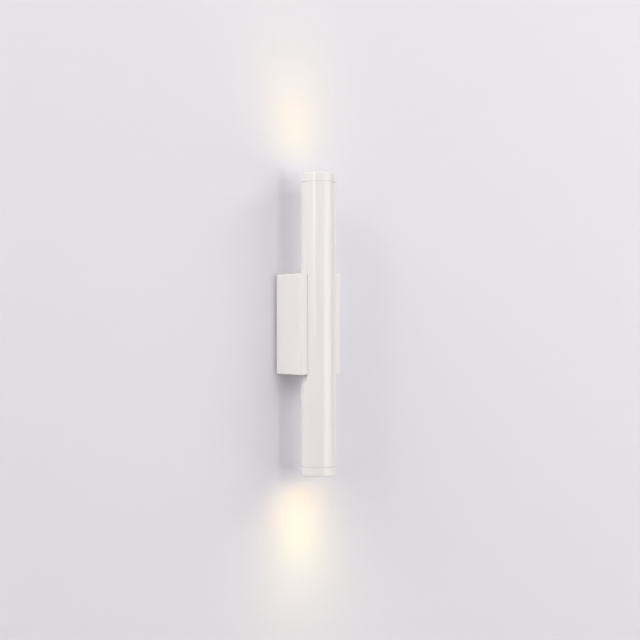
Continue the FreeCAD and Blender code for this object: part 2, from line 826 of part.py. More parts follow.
def make_driver_parts():
    """The transformer and the capacitor on the board, the two largest parts there."""
    edge = size.driver_wall + size.driver_part_margin
    transformer = new_body("transformer")
    core = sketch_on(transformer, "TransformerCore", "XZ_Plane", -driver_board_back)
    half_height = size.transformer_height / 2
    add_rounded_box(core, size.transformer_width / 2, half_height, size.transformer_corner,
                    driver_middle + driver_half_height - edge - half_height)
    pad(transformer, core, size.transformer_depth, back=True)
    radius = size.capacitor_diameter / 2
    capacitor = doc.addObject("Part::Cylinder", "capacitor")
    bind(capacitor, Radius=radius, Height=size.capacitor_length)
    place(capacitor, (-size.capacitor_length / 2, driver_board_back + radius,
                      size.driver_bottom + edge + radius), Rotation(Vector(0, 1, 0), 90))
    return group("driver_parts", [transformer, capacitor])


def make_driver_cover():
    """The tray's flat lid, with a step that drops inside its walls."""
    body = new_body("driver_cover")
    lid = sketch_on(body, "DriverLid", "XZ_Plane", -driver_back)
    add_rounded_box(lid, driver_half_width, driver_half_height, size.driver_wall,
                    driver_middle)
    pad(body, lid, size.driver_cover_thickness, back=True)
    inset = size.driver_wall + size.screw_clearance
    step = sketch_on(body, "DriverLidStep", "XZ_Plane", -driver_back)
    add_box_outline(step, driver_half_width - inset, driver_half_height - inset,
                    driver_middle)
    pad(body, step, size.driver_wall)
    return body


def make_driver_screws():
    """The two screws that hold the driver on the box's posts."""
    screws = []
    for index, side in enumerate((-1, 1)):
        at = (side * driver_ear_x, driver_front + size.driver_wall, driver_middle)
        screws.append(small_screw(f"driver_screw_{index}", size.driver_screw_length,
                                  size.small_screw_head, at, "back"))
    return group("driver_screws", screws)


# ---------------------------------------------------------------- the tube and its fixing

def make_tube_body():
    """Straight tube, drilled at the back for its two screws and the wire bush."""
    body = new_body("tube_body")
    reach = half_length - size.bezel_height - size.seam_gasket_thickness
    edge = size.lip_radius
    revolve(body, "TubeHalf", [(bore_r, -reach), (tube_r - edge, -reach), (tube_r, edge - reach),
                               (tube_r, reach - edge), (tube_r - edge, reach), (bore_r, reach)])
    holes = sketch_on(body, "TubeHoles", "XZ_Plane")
    for side in (-1, 1):
        add_circle(holes, 0, side * size.tube_screw_spacing / 2,
                   size.tube_screw_diameter / 2 + size.screw_clearance)
    add_circle(holes, 0, -size.wire_hole_drop, size.wire_hole_diameter / 2)
    pocket(body, holes, tube_r)
    return place(body, (0, axis_y, 0))


def make_nut_bar():
    """Tapped bar inside the tube, curved to the bore, that the tube screws pull on."""
    body = new_body("nut_bar")
    bar_r = bore_r - size.plug_clearance
    half_width = size.nut_bar_width / 2
    shoulder = axis_y + half_chord(bar_r, half_width)
    flat = axis_y + bar_r - size.nut_bar_thickness
    section = sketch_on(body, "NutBarSection", "XY_Plane")
    add_outline(section, [(-half_width, flat), (half_width, flat), (half_width, shoulder),
                          (-half_width, shoulder)], {2: (0, axis_y, 1)})
    pad(body, section, size.tube_screw_spacing + size.nut_bar_margin * 2, both_ways=True)
    holes = sketch_on(body, "NutBarHoles", "XZ_Plane", size.light_length)
    for side in (-1, 1):
        add_circle(holes, 0, side * size.tube_screw_spacing / 2,
                   size.tube_screw_diameter / 2 + size.tap_clearance)
    add_circle(holes, 0, -size.wire_hole_drop, size.wire_hole_diameter / 2)
    pocket(body, holes, size.light_length)
    return body


def make_tube_screws():
    """The two screws from inside the box through cradle and tube into the nut bar."""
    screws = []
    for index, side in enumerate((-1, 1)):
        at = (0, seat_y, side * size.tube_screw_spacing / 2)
        screws.append(pan_screw(f"tube_screw_{index}", size.tube_screw_diameter,
                                size.tube_screw_length, size.tube_screw_head,
                                size.tube_screw_head_height, size.tube_screw_slot, at,
                                "back"))
    return group("tube_screws", screws)


def make_wire_grommet():
    """Rubber bush that lines the wire hole through the cradle and the tube."""
    body = new_body("wire_grommet")
    outside = size.wire_hole_diameter / 2 - size.tap_clearance
    bore = size.wire_grommet_bore / 2
    flange = size.wire_hole_diameter / 2 + size.grommet_flange - size.tap_clearance
    depth = size.tube_stand_off + size.tube_wall + seat_y
    revolve(body, "WireGrommetHalf", [(bore, -depth), (outside, -depth), (outside, 0),
                                      (flange, 0), (flange, size.grommet_flange_thickness),
                                      (bore, size.grommet_flange_thickness)])
    return place(body, (0, seat_y, -size.wire_hole_drop), OUTWARD["back"])


# ---------------------------------------------------------------- leads

def lead_path(points, radius):
    """Straight runs through the points, joined by tangent arcs of one radius."""
    edges = []
    start = points[0]
    for before, corner, after in zip(points, points[1:], points[2:]):
        into = (corner - before).normalize()
        out = (after - corner).normalize()
        first, last = corner - into * radius, corner + out * radius
        hub = first + out * radius
        halfway = hub + (corner - hub).normalize() * radius
        edges.append(Part.LineSegment(start, first).toShape())
        edges.append(Part.Arc(first, halfway, last).toShape())
        start = last
    edges.append(Part.LineSegment(start, points[-1]).toShape())
    return Part.Wire(edges)


def sweep_lead(points, diameter, bend):
    """A round lead along its path."""
    path = lead_path(points, bend)
    along = (points[1] - points[0]).normalize()
    ring = Part.Wire([Part.Circle(points[0], along, diameter / 2).toShape()])
    lead = path.makePipeShell([ring], True, False)
    want = path.Length * math.pi * diameter ** 2 / 4
    if abs(lead.Volume - want) > 0.01 * want:
        raise RuntimeError("a lead's volume doesn't match its path")
    return lead


def make_led_leads(end):
    """Two leads from the driver, through the wire bush and along the tube to a board."""
    way = 1 if end == "upper" else -1
    spread = size.led_lead_spread.number / 2
    level = way * spread - size.wire_hole_drop.number
    row = way * size.led_lead_row_step / 2
    out_y = (seat_y + size.grommet_flange_thickness + size.led_lead_stand_back - row).number
    in_y = (axis_y + size.led_lead_offset).number
    top = (size.driver_bottom + size.driver_wall).number
    board = way * (half_length + board_bottom).number
    bend = size.led_lead_bend.number
    solids = []
    for side in (-1, 1):
        x = side * spread
        points = [Vector(x, out_y, top), Vector(x, out_y, level), Vector(x, in_y, level),
                  Vector(x, in_y, board)]
        solids.append(sweep_lead(points, size.led_lead_diameter.number, bend))
    leads = doc.addObject("Part::Feature", f"{end}_led_leads")
    leads.Label = f"{end}_led_leads"
    leads.Shape = Part.makeCompound(solids)
    return leads


def make_mains_leads():
    """Two straight leads from the terminal block up to the driver."""
    foot = -size.terminal_drop
    leads = []
    for index, pole in enumerate((-1, 1)):
        lead = doc.addObject("Part::Cylinder", f"MainsLead{index}")
        bind(lead, Radius=size.mains_lead_diameter / 2,
             Height=size.driver_bottom + size.driver_wall - foot)
        leads.append(place(lead, (pole * size.terminal_pitch, terminal_bore_y, foot)))
    return group("mains_leads", leads)


# ---------------------------------------------------------------- the two ends

def at_end(thing, end):
    """Puts a piece modelled from the end face inwards on the upper or lower end."""
    if end == "upper":
        return place(thing, (0, axis_y, half_length))
    return place(thing, (0, axis_y, -half_length), Rotation(Vector(0, 1, 0), 180))


def make_bezel(end):
    """End ring: a lip over the lens, a groove for the snap ring and a threaded spigot."""
    body = new_body(f"{end}_bezel")
    groove_r = spigot_bore + size.snap_groove_depth
    groove_top = snap_top + size.face_clearance
    groove_bottom = snap_bottom - size.face_clearance
    bevel = size.bezel_chamfer
    revolve(body, f"{end}BezelHalf", [
        (opening_r, 0), (opening_r, -size.lip_thickness), (spigot_bore, -size.lip_thickness),
        (spigot_bore, groove_top), (groove_r, groove_top), (groove_r, groove_bottom),
        (spigot_bore, groove_bottom), (spigot_bore, spigot_end), (spigot_r, spigot_end),
        (spigot_r, shoulder_z), (tube_r - bevel, shoulder_z), (tube_r, shoulder_z + bevel),
        (tube_r, -bevel), (tube_r - bevel, 0)])
    return at_end(body, end)


def make_lens(end):
    """Frosted front disc with a slightly domed face inside."""
    body = new_body(f"{end}_lens")
    edge = size.lip_radius
    revolve(body, f"{end}LensHalf", [(0, lens_bottom), (lens_r - edge, lens_bottom),
                                     (lens_r, lens_bottom + edge), (lens_r, lens_top - edge),
                                     (lens_r - edge, lens_top), (0, lens_top)])
    return at_end(body, end)


def flat_ring(label, end, inner, outer, top, thickness):
    """A flat ring whose top face is at this height."""
    body = new_body(label)
    revolve(body, f"{label}Half", [(inner, top - thickness), (outer, top - thickness),
                                   (outer, top), (inner, top)])
    return at_end(body, end)


def make_lens_gasket(end):
    """Silicone ring between the bezel's lip and the lens."""
    return flat_ring(f"{end}_lens_gasket", end, opening_r, lens_r, lens_gasket_top,
                     size.lens_gasket_thickness)


def make_seam_gasket(end):
    """Rubber ring between the tube's end and the bezel, set back as a dark seam."""
    outer = tube_r - size.seam_gasket_inset
    return flat_ring(f"{end}_seam_gasket", end, outer - size.seam_gasket_width, outer,
                     shoulder_z - size.face_clearance,
                     size.seam_gasket_thickness - size.face_clearance)


def make_snap_ring(end):
    """Open spring ring under the lens, in the bezel's groove."""
    outer = spigot_bore + size.snap_groove_depth - size.lens_clearance
    ring = flat_ring(f"{end}_snap_ring", end, outer - size.snap_ring_width, outer, snap_top,
                     size.snap_ring_thickness)
    gap = sketch_on(ring, f"{end}SnapGap", "XY_Plane", snap_top)
    half_gap = size.snap_ring_gap / 2
    add_outline(gap, [(-half_gap, 0), (half_gap, 0), (half_gap, tube_r), (-half_gap, tube_r)])
    pocket(ring, gap, size.snap_ring_thickness)
    return ring


def make_reflector(end):
    """Spun cup: a short neck round the emitter, then a bell that opens to the lens."""
    body = new_body(f"{end}_reflector")
    top = board_top + size.reflector_height
    mouth = spigot_bore - size.reflector_clearance
    neck = board_top + size.reflector_neck
    revolve(body, f"{end}ReflectorHalf", [
        (throat_r, board_top), (throat_outer_r, board_top), (throat_outer_r, neck),
        (mouth, top), (mouth - size.reflector_wall, top), (throat_r, neck)])
    return at_end(body, end)


def make_emitter(end):
    """The round light source in the middle of the board."""
    body = new_body(f"{end}_led_emitter")
    top = board_top + size.emitter_thickness
    revolve(body, f"{end}EmitterHalf", [(0, board_top), (emitter_r, board_top),
                                        (emitter_r, top - size.lip_radius),
                                        (emitter_r - size.lip_radius, top), (0, top)])
    return at_end(body, end)


def make_board(end):
    """Round metal-core board with two screw holes."""
    body = new_body(f"{end}_led_board")
    disc = sketch_on(body, f"{end}Board", "XY_Plane", board_bottom)
    add_circle(disc, 0, 0, board_r)
    for side in (-1, 1):
        add_circle(disc, side * board_screw_x, 0,
                   size.board_screw_diameter / 2 + size.screw_clearance)
    pad(body, disc, size.board_thickness)
    return at_end(body, end)


def make_board_screws(end):
    """The two screws that clamp the board to the heat sink."""
    screws = []
    for index, side in enumerate((-1, 1)):
        at = (side * board_screw_x, 0, board_top)
        screws.append(pan_screw(f"{end}_board_screw_{index}", size.board_screw_diameter,
                                size.board_screw_length, size.board_screw_head,
                                size.board_screw_head_height, size.board_screw_slot, at,
                                "up"))
    return at_end(group(f"{end}_board_screws", screws), end)


def make_heat_sink(end):
    """Round plug with a solid face and a ring of fins behind it, a close fit in the tube."""
    body = new_body(f"{end}_heat_sink")
    plug_r = bore_r - size.plug_clearance
    blank = sketch_on(body, f"{end}SinkBlank", "XY_Plane", board_bottom - size.heat_sink_height)
    add_circle(blank, 0, 0, plug_r)
    pad(body, blank, size.heat_sink_height)

    fin_height = size.heat_sink_height - size.heat_sink_plate
    slot = sketch_on(body, f"{end}SinkSlot", "XY_Plane", board_bottom - size.heat_sink_plate)
    half_slot = size.heat_sink_slot / 2
    add_outline(slot, [(size.heat_sink_core / 2, -half_slot), (tube_r, -half_slot),
                       (tube_r, half_slot), (size.heat_sink_core / 2, half_slot)])
    first_slot = pocket(body, slot, fin_height)
    fins = body.newObject("PartDesign::PolarPattern", f"{end}SinkFins")
    fins.Originals = [first_slot]
    fins.Axis = (origin_part(body, "Z_Axis"), [""])
    fins.Angle = 360
    fins.setExpression("Occurrences", size.heat_sink_slots.formula)
    body.Tip = fins
    doc.recompute()

    holes = sketch_on(body, f"{end}SinkHoles", "XY_Plane", board_bottom)
    add_circle(holes, 0, size.led_lead_offset, size.led_lead_spread / 2 + size.led_lead_diameter)
    pocket(body, holes, size.heat_sink_height)
    taps = sketch_on(body, f"{end}SinkTaps", "XY_Plane", board_bottom)
    for side in (-1, 1):
        add_circle(taps, side * board_screw_x, 0,
                   size.board_screw_diameter / 2 + size.tap_clearance)
    pocket(body, taps, size.board_screw_length)
    return at_end(body, end)


# ---------------------------------------------------------------- the assembly

def make_all():
    """Every piece of the light, in the order it goes together."""
    nodes = [
        make_wall_gasket(), make_wall_bracket(), make_cable_grommet(),
        make_terminal_block(), make_terminal_screws(), make_terminal_fixings(),
        make_earth_washer(), make_earth_screw(), make_mains_leads(),
        make_housing(), make_housing_screws(),
        make_driver_case(), make_driver_board(), make_driver_parts(), make_driver_cover(),
        make_driver_screws(),
        make_tube_body(), make_nut_bar(), make_tube_screws(), make_wire_grommet(),
    ]
    for end in ("upper", "lower"):
        nodes += [
            make_heat_sink(end), make_board(end), make_board_screws(end), make_emitter(end),
            make_reflector(end), make_led_leads(end), make_seam_gasket(end), make_bezel(end),
            make_lens_gasket(end), make_lens(end), make_snap_ring(end),
        ]
    return nodes


def check(nodes):
    """Stops if an object failed or a piece has no sound solid."""
    for thing in doc.Objects:
        if "Invalid" in thing.State or "Error" in thing.State:
            raise RuntimeError(f"{thing.Name} failed: {thing.State}")
    for node in nodes:
        shape = node.Shape
        if shape.isNull() or not shape.isValid() or not shape.Solids:
            raise RuntimeError(f"{node.Label} has no sound solid")


nodes = make_all()
doc.recompute()
check(nodes)
os.makedirs("parts", exist_ok=True)
for node in nodes:
    node.Shape.exportStep(f"parts/{node.Label}.step")
print(len(nodes), "pieces")
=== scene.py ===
# %% [markdown]
# # Dressing a tube wall light
#
# The object is a slim white tube that stands upright in the cradle of a small box on the wall,
# with a frosted light in each end that shines up and down. The solids come ready made, at their
# real size and in their real place. This script gives each one its finish, makes the pieces
# whose threads and sockets are too fine for the solids, and sets up a camera, a wall and soft
# studio light. Lengths are in metres: X runs along the wall, Y into it and Z up.

# %% Load the solids
import json
import math

import bpy
import numpy as np
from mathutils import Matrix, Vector


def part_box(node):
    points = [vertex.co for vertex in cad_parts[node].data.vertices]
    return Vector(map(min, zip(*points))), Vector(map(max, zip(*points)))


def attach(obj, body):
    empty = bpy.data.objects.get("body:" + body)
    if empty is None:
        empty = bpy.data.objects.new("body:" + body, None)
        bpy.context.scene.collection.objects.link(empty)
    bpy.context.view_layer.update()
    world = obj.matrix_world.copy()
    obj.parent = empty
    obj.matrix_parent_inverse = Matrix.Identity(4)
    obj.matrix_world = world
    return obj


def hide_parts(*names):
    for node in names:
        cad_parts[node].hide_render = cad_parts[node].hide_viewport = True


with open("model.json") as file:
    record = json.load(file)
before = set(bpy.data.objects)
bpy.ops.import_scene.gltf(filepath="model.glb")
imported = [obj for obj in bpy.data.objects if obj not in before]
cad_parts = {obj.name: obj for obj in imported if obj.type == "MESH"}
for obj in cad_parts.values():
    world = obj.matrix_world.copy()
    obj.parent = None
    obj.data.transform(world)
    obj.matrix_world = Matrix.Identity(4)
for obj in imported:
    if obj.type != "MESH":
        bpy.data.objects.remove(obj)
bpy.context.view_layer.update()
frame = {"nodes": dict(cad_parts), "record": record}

MM = 0.001
nodes = frame["nodes"]

# %% [markdown]
# ## Camera
#
# The photograph was taken from the left of the light and level with its middle, because the
# upper and lower edges of the box run to the wall at like angles. The width of the box's side
# against its front gives the angle. The camera could be turned about the light by hand, but
# from an angle and a distance its place follows by sine and cosine, and both can be set again
# against the photograph one at a time. A small turn aside and a small shift of the lens then put
# the light where it stands in the frame.

# %% Place the camera
FRAME_PIXELS = 640
VIEW_ANGLE = math.radians(37.4)
TURN_ASIDE = math.radians(1.26)
CAMERA_DISTANCE = 1.093
FOCAL_PIXELS = 1068
SENSOR_MM = 36
LENS_SHIFT = 0.0066

lens_data = bpy.data.cameras.new("camera")
lens_data.sensor_width = SENSOR_MM
lens_data.lens = FOCAL_PIXELS / FRAME_PIXELS * SENSOR_MM
lens_data.shift_y = LENS_SHIFT
camera = bpy.data.objects.new("camera", lens_data)
camera.location = (-CAMERA_DISTANCE * math.sin(VIEW_ANGLE),
                   -CAMERA_DISTANCE * math.cos(VIEW_ANGLE), 0)
camera.rotation_euler = (math.radians(90), 0, -(VIEW_ANGLE + TURN_ASIDE))
bpy.context.scene.collection.objects.link(camera)
bpy.context.scene.camera = camera
print("camera at", [round(v, 3) for v in camera.location], "lens", round(lens_data.lens, 1), "mm")

# %% [markdown]
# ## Lengths read from the solids
#
# The new pieces have to sit exactly where their solids are. Their sizes could be typed in
# again, but then a change to the model would leave them behind. So the radii and heights are
# read from the boxes of the solids, and only what a box can't tell is named here.

# %% Read the main lengths
tube_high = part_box("tube_body")[1]
bezel_low, bezel_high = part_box("upper_bezel")
ring_low, ring_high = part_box("upper_snap_ring")
seam_low, seam_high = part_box("upper_seam_gasket")
lens_low, lens_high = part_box("upper_lens")

TUBE_R = (bezel_high.x - bezel_low.x) / 2
LENS_R = (lens_high.x - lens_low.x) / 2
AXIS_Y = bezel_low.y + TUBE_R
END_Z = bezel_high.z
FACE_GAP = 0.05 * MM
LENS_GAP = 0.08 * MM
SPIGOT_WALL = 1.3 * MM
LIP_WIDTH = 4.5 * MM
LIP_THICKNESS = 1.2 * MM

shoulder = seam_high.z + FACE_GAP - END_Z
spigot_end = bezel_low.z - END_Z
bore_r = LENS_R + LENS_GAP
spigot_r = bore_r + SPIGOT_WALL
groove_r = (ring_high.x - ring_low.x) / 2 + LENS_GAP
groove_top = ring_high.z + FACE_GAP - END_Z
groove_bottom = ring_low.z - FACE_GAP - END_Z
print("tube radius", round(TUBE_R / MM, 2), "mm, axis at y", round(AXIS_Y / MM, 2), "mm")
print("shoulder", round(shoulder / MM, 2), "mm, spigot to", round(spigot_end / MM, 2), "mm")

# %% [markdown]
# ## Small tools for materials
#
# Every finish below is a Principled shader fed by a few nodes. Wiring them by hand in the
# editor shows the result at once, but a script has to name each link. A few short helpers keep
# that readable: they add a node and set its inputs, start a reusable group, and place it.

# %% Node helpers
def add(tree, kind, values=None, **settings):
    """Adds a node, sets its properties, and fills its inputs with numbers or with links."""
    node = tree.nodes.new(kind)
    for name, value in settings.items():
        setattr(node, name, value)
    for name, value in (values or {}).items():
        if isinstance(value, bpy.types.NodeSocket):
            tree.links.new(value, node.inputs[name])
        else:
            node.inputs[name].default_value = value
    return node


def new_group(name, inputs, outputs):
    """Starts a shader group; inputs gives each name's default and outputs each name's kind."""
    tree = bpy.data.node_groups.new(name, "ShaderNodeTree")
    for label, default in inputs.items():
        socket = tree.interface.new_socket(label, in_out="INPUT", socket_type="NodeSocketFloat")
        socket.default_value = default
    for label, kind in outputs.items():
        tree.interface.new_socket(label, in_out="OUTPUT", socket_type=f"NodeSocket{kind}")
    return tree, tree.nodes.new("NodeGroupInput"), tree.nodes.new("NodeGroupOutput")


def use(tree, group, **values):
    """Places a group in a material with its own values; a name's underscores are spaces."""
    named = {name.replace("_", " "): value for name, value in values.items()}
    return add(tree, "ShaderNodeGroup", node_tree=group, values=named)


print("node helpers ready")

# %% [markdown]
# Much of a finish is plain arithmetic: a noise value is stretched to a range of roughness, or
# runs from one colour to another. Each helper below adds one such step and gives back the
# socket that carries its result, so that steps can be nested like a formula.

# %% Sums and blends
def calc(tree, operation, *values):
    """One step of arithmetic on numbers or links, and its result."""
    return add(tree, "ShaderNodeMath", dict(enumerate(values)), operation=operation).outputs[0]


def remap(tree, value, low, high):
    """Stretches a 0 to 1 value to the range from low to high."""
    return add(tree, "ShaderNodeMapRange",
               {"Value": value, "To Min": low, "To Max": high}).outputs["Result"]


def blend_colours(tree, mask, first, second):
    """Runs from the first colour to the second as the mask goes from 0 to 1."""
    mix = add(tree, "ShaderNodeMix", data_type="RGBA")
    tree.links.new(mask, mix.inputs["Factor"])
    mix.inputs["A"].default_value = (*first, 1)
    mix.inputs["B"].default_value = (*second, 1)
    return mix.outputs["Result"]


print("sums and blends ready")

# %% [markdown]
# A finish is one material with one Principled shader. What is the same all over the surface is
# set straight on the shader, and what changes over it comes from nodes. Fine relief, such as
# grain or orange peel, could be real geometry, but is much finer than a face of the mesh, so a
# bump bends the light instead.

# %% Start a finish
FINISHES = {}


def start_finish(slot, **settings):
    """Starts the finish of one material slot and sets the constant inputs of its shader."""
    material = bpy.data.materials.new(slot)
    material.use_nodes = True
    tree = material.node_tree
    shader = tree.nodes["Principled BSDF"]
    for name, value in settings.items():
        shader.inputs[name.replace("_", " ")].default_value = value
    FINISHES[slot] = material
    return tree, shader


def raise_surface(tree, shader, height, depth):
    """Bumps the surface by a height map; depth is the real height of its peaks in metres."""
    bump = add(tree, "ShaderNodeBump", {"Height": height, "Distance": depth})
    tree.links.new(bump.outputs["Normal"], shader.inputs["Normal"])


print("finish helpers ready")

# %% [markdown]
# ## Effects that several finishes share
#
# A painted or moulded surface is never one even tone: it has a fine texture that breaks its
# reflections, and a broad, slow change where the coat is a little thicker or has been touched.
# Both could be painted as images. Noise on the object's own coordinates gives them at a true
# scale on every piece, with no seams and no unwrapping, so they are made once as a group.

# %% The grain group
def make_grain_group():
    """Fine and broad noise; Fine Size and Broad Size are the sizes of their spots in metres."""
    tree, start, end = new_group("Surface Grain", {"Fine Size": 1 * MM, "Broad Size": 30 * MM},
                                 {"Fine": "Float", "Broad": "Float"})
    place = add(tree, "ShaderNodeTexCoord").outputs["Object"]
    for label, detail in (("Fine", 2.0), ("Broad", 3.0)):
        scale = calc(tree, "DIVIDE", 1.0, start.outputs[f"{label} Size"])
        noise = add(tree, "ShaderNodeTexNoise",
                    {"Vector": place, "Scale": scale, "Detail": detail, "Roughness": 0.5})
        tree.links.new(noise.outputs["Fac"], end.inputs[label])
    return tree


grain = make_grain_group()
print("group", grain.name)

# %% [markdown]
# Turned metal carries fine rings from the tool, and drawn or rolled metal carries long straight
# lines. Both are the same thing: noise that is stretched a long way in some directions. The
# group divides a point's place by one size for each axis, and along an axis with a large size
# the noise hardly changes. So rings need a small size up the axis only, with enough change
# across it that they are not perfectly even, and rolled lines need a large size along the roll.

# %% The tool line group
def make_line_group():
    """Lines across X, Y and Z; each of the three spacings is a line's width in metres."""
    spacings = {"X Size": 1.0, "Y Size": 1.0, "Z Size": 0.2 * MM}
    tree, start, end = new_group("Tool Lines", spacings, {"Lines": "Float"})
    place = add(tree, "ShaderNodeTexCoord").outputs["Object"]
    size = add(tree, "ShaderNodeCombineXYZ",
               {axis: start.outputs[f"{axis} Size"] for axis in "XYZ"}).outputs[0]
    stretched = add(tree, "ShaderNodeVectorMath", {0: place, 1: size}, operation="DIVIDE")
    noise = add(tree, "ShaderNodeTexNoise",
                {"Vector": stretched.outputs[0], "Scale": 1.0, "Detail": 3.0, "Roughness": 0.6})
    tree.links.new(noise.outputs["Fac"], end.inputs["Lines"])
    return tree


tool_lines = make_line_group()
print("group", tool_lines.name)

# %% [markdown]
# Two finishes depend on how far a point lies from the tube's axis: the lens glows most in its
# middle, and the thread in the tube's mouth lies on one radius. One group measures that
# distance, and turns it into a mask that fades from 1 on the axis to 0 at a chosen radius.

# %% The axis group
def make_axis_group():
    """The distance from the tube's axis, and a mask that falls from 1 there to 0 at Reach."""
    tree, start, end = new_group("Tube Axis", {"Reach": 14 * MM},
                                 {"Distance": "Float", "Mask": "Float"})
    place = add(tree, "ShaderNodeTexCoord").outputs["Object"]
    centred = add(tree, "ShaderNodeVectorMath", {0: place, 1: (0, AXIS_Y, 0)},
                  operation="SUBTRACT").outputs[0]
    flat = add(tree, "ShaderNodeVectorMath", {0: centred, 1: (1, 1, 0)}, operation="MULTIPLY")
    length = add(tree, "ShaderNodeVectorMath", {0: flat.outputs[0]}, operation="LENGTH")
    distance = length.outputs["Value"]
    fade = add(tree, "ShaderNodeMapRange",
               {"Value": distance, "From Min": 0.0, "From Max": start.outputs["Reach"],
                "To Min": 1.0, "To Max": 0.0}, interpolation_type="SMOOTHSTEP")
    tree.links.new(distance, end.inputs["Distance"])
    tree.links.new(fade.outputs["Result"], end.inputs["Mask"])
    return tree


tube_axis = make_axis_group()
print("group", tube_axis.name)

# %% [markdown]
# ## White powder coat
#
# The box, the tube and the end rings are aluminium with a baked white powder coat. Powder melts
# into a skin with a faint orange peel: dimples about a millimetre and a half across and a few
# thousandths deep, which soften the edges of reflections. The gloss also drifts a little over
# the surface. The inside of the tube's mouth is threaded, and as that lies on a fixed radius,
# the same material adds the thread there as a helical bump.

# %% The thread in the tube's mouth
THREAD_PITCH = 1.0 * MM
THREAD_DEPTH = 0.35 * MM
TUBE_WALL = 2.0 * MM
BORE_TOLERANCE = 0.05 * MM


def make_thread_group():
    """A helical ridge about the tube's axis, only on the bore and only near the tube's ends.

    The ridge's phase is height over pitch less the turn about the axis, and the wave that
    follows is a triangle, which is the cut's real section. It rises to one half only, so the
    bump is half as deep as the thread on the ring.
    """
    inputs = {"Pitch": THREAD_PITCH, "Bore Radius": TUBE_R - TUBE_WALL,
              "Mouth Start": bezel_low.z}
    tree, start, end = new_group("Mouth Thread", inputs, {"Height": "Float"})
    place = add(tree, "ShaderNodeTexCoord").outputs["Object"]
    parts = add(tree, "ShaderNodeSeparateXYZ", {0: place}).outputs
    turn = calc(tree, "ARCTAN2", calc(tree, "SUBTRACT", parts["Y"], AXIS_Y), parts["X"])
    rise = calc(tree, "DIVIDE", parts["Z"], start.outputs["Pitch"])
    phase = calc(tree, "SUBTRACT", rise, calc(tree, "DIVIDE", turn, math.tau))
    wave = calc(tree, "PINGPONG", phase, 0.5)
    distance = use(tree, tube_axis).outputs["Distance"]
    on_bore = calc(tree, "COMPARE", distance, start.outputs["Bore Radius"], BORE_TOLERANCE)
    height = calc(tree, "ABSOLUTE", parts["Z"])
    in_mouth = calc(tree, "GREATER_THAN", height, start.outputs["Mouth Start"])
    masked = calc(tree, "MULTIPLY", wave, calc(tree, "MULTIPLY", on_bore, in_mouth))
    tree.links.new(masked, end.inputs["Height"])
    return tree


mouth_thread = make_thread_group()
print("group", mouth_thread.name, "pitch", THREAD_PITCH / MM, "mm")

# %% [markdown]
# The two small locking screws are white too, but lacquered: a thinner, harder skin with a finer
# peel. One function could be written for each, but they differ only in colour, gloss and peel.
# In both, the colour and the gloss follow the same broad noise, because both come from how
# thick the coat is.

# %% White coats
COAT_IOR = 1.5
COAT_PATCH = 40 * MM
THIN_COAT = 0.985
GLOSS_DRIFT = 0.03


def make_white_coat(slot, colour, roughness, dimple):
    """A white coat, a little darker where it is thin; dimple is the peel's size in metres."""
    tree, shader = start_finish(slot, Roughness=roughness, IOR=COAT_IOR)
    noise = use(tree, grain, Fine_Size=dimple, Broad_Size=COAT_PATCH)
    thin = tuple(channel * THIN_COAT for channel in colour)
    tint = blend_colours(tree, noise.outputs["Broad"], thin, colour)
    gloss = remap(tree, noise.outputs["Broad"], roughness - GLOSS_DRIFT, roughness + GLOSS_DRIFT)
    tree.links.new(tint, shader.inputs["Base Color"])
    tree.links.new(gloss, shader.inputs["Roughness"])
    return tree, shader, noise.outputs["Fine"]


COAT_WHITE = (0.86, 0.82, 0.8)
COAT_ROUGHNESS = 0.24
PEEL_SIZE = 1.5 * MM
PEEL_DEPTH = 0.004 * MM
LACQUER_WHITE = (0.8, 0.79, 0.78)
LACQUER_ROUGHNESS = 0.28
LACQUER_PEEL_SIZE = 0.8 * MM
LACQUER_PEEL_DEPTH = 0.002 * MM

tree, shader, peel = make_white_coat("white_powder_coat", COAT_WHITE, COAT_ROUGHNESS, PEEL_SIZE)
peel_metres = remap(tree, peel, 0.0, PEEL_DEPTH)
thread_shape = use(tree, mouth_thread).outputs["Height"]
thread_metres = remap(tree, thread_shape, 0.0, THREAD_DEPTH)
both_metres = calc(tree, "ADD", peel_metres, thread_metres)
raise_surface(tree, shader, both_metres, 1.0)    # the heights are in metres already

tree, shader, peel = make_white_coat("white_screws", LACQUER_WHITE, LACQUER_ROUGHNESS,
                                     LACQUER_PEEL_SIZE)
raise_surface(tree, shader, peel, LACQUER_PEEL_DEPTH)
print("white coats ready")

# %% [markdown]
# ## The lit lens
#
# The lens is a disc of frosted glass. The light source behind it is much smaller than the disc,
# so the middle is brightest and the rim is dimmer and warmer. A lamp inside and real
# scattering glass would show that too, but would be noisy and slow. Letting the frosted face
# itself glow, with a mask about the axis, gives the same look in any view.

# %% Frosted glass that glows
GLOW_REACH = LENS_R * 1.05    # the fade ends just past the rim
MIDDLE_GLOW = (1.0, 0.86, 0.66)
RIM_GLOW = (0.52, 0.33, 0.17)

tree, shader = start_finish("frosted_lens", Base_Color=(0.95, 0.93, 0.88, 1), Roughness=0.55,
                            IOR=1.49, Transmission_Weight=0.25, Emission_Strength=1.0)
pool = use(tree, tube_axis, Reach=GLOW_REACH).outputs["Mask"]
glow = blend_colours(tree, pool, RIM_GLOW, MIDDLE_GLOW)
tree.links.new(glow, shader.inputs["Emission Color"])
frost = use(tree, grain, Fine_Size=0.25 * MM, Broad_Size=6 * MM)
raise_surface(tree, shader, frost.outputs["Fine"], 0.01 * MM)
print("lens radius", round(LENS_R / MM, 2), "mm")

# %% [markdown]
# ## Rubber, foam and silicone
#
# The seals are soft. Rubber bushes are matt with a faint bloom, the foam strip behind the box
# has open pits where its cells were cut, and the silicone ring under the lip is milky and lets
# some light into itself. Pits could be modelled one by one, but at a third of a millimetre a
# cell pattern in the height does as well, and the same pattern paints the pits darker as
# painted shade.

# %% Soft materials
FOAM_CELL = 0.35 * MM
FOAM_PIT_DEPTH = 0.12 * MM

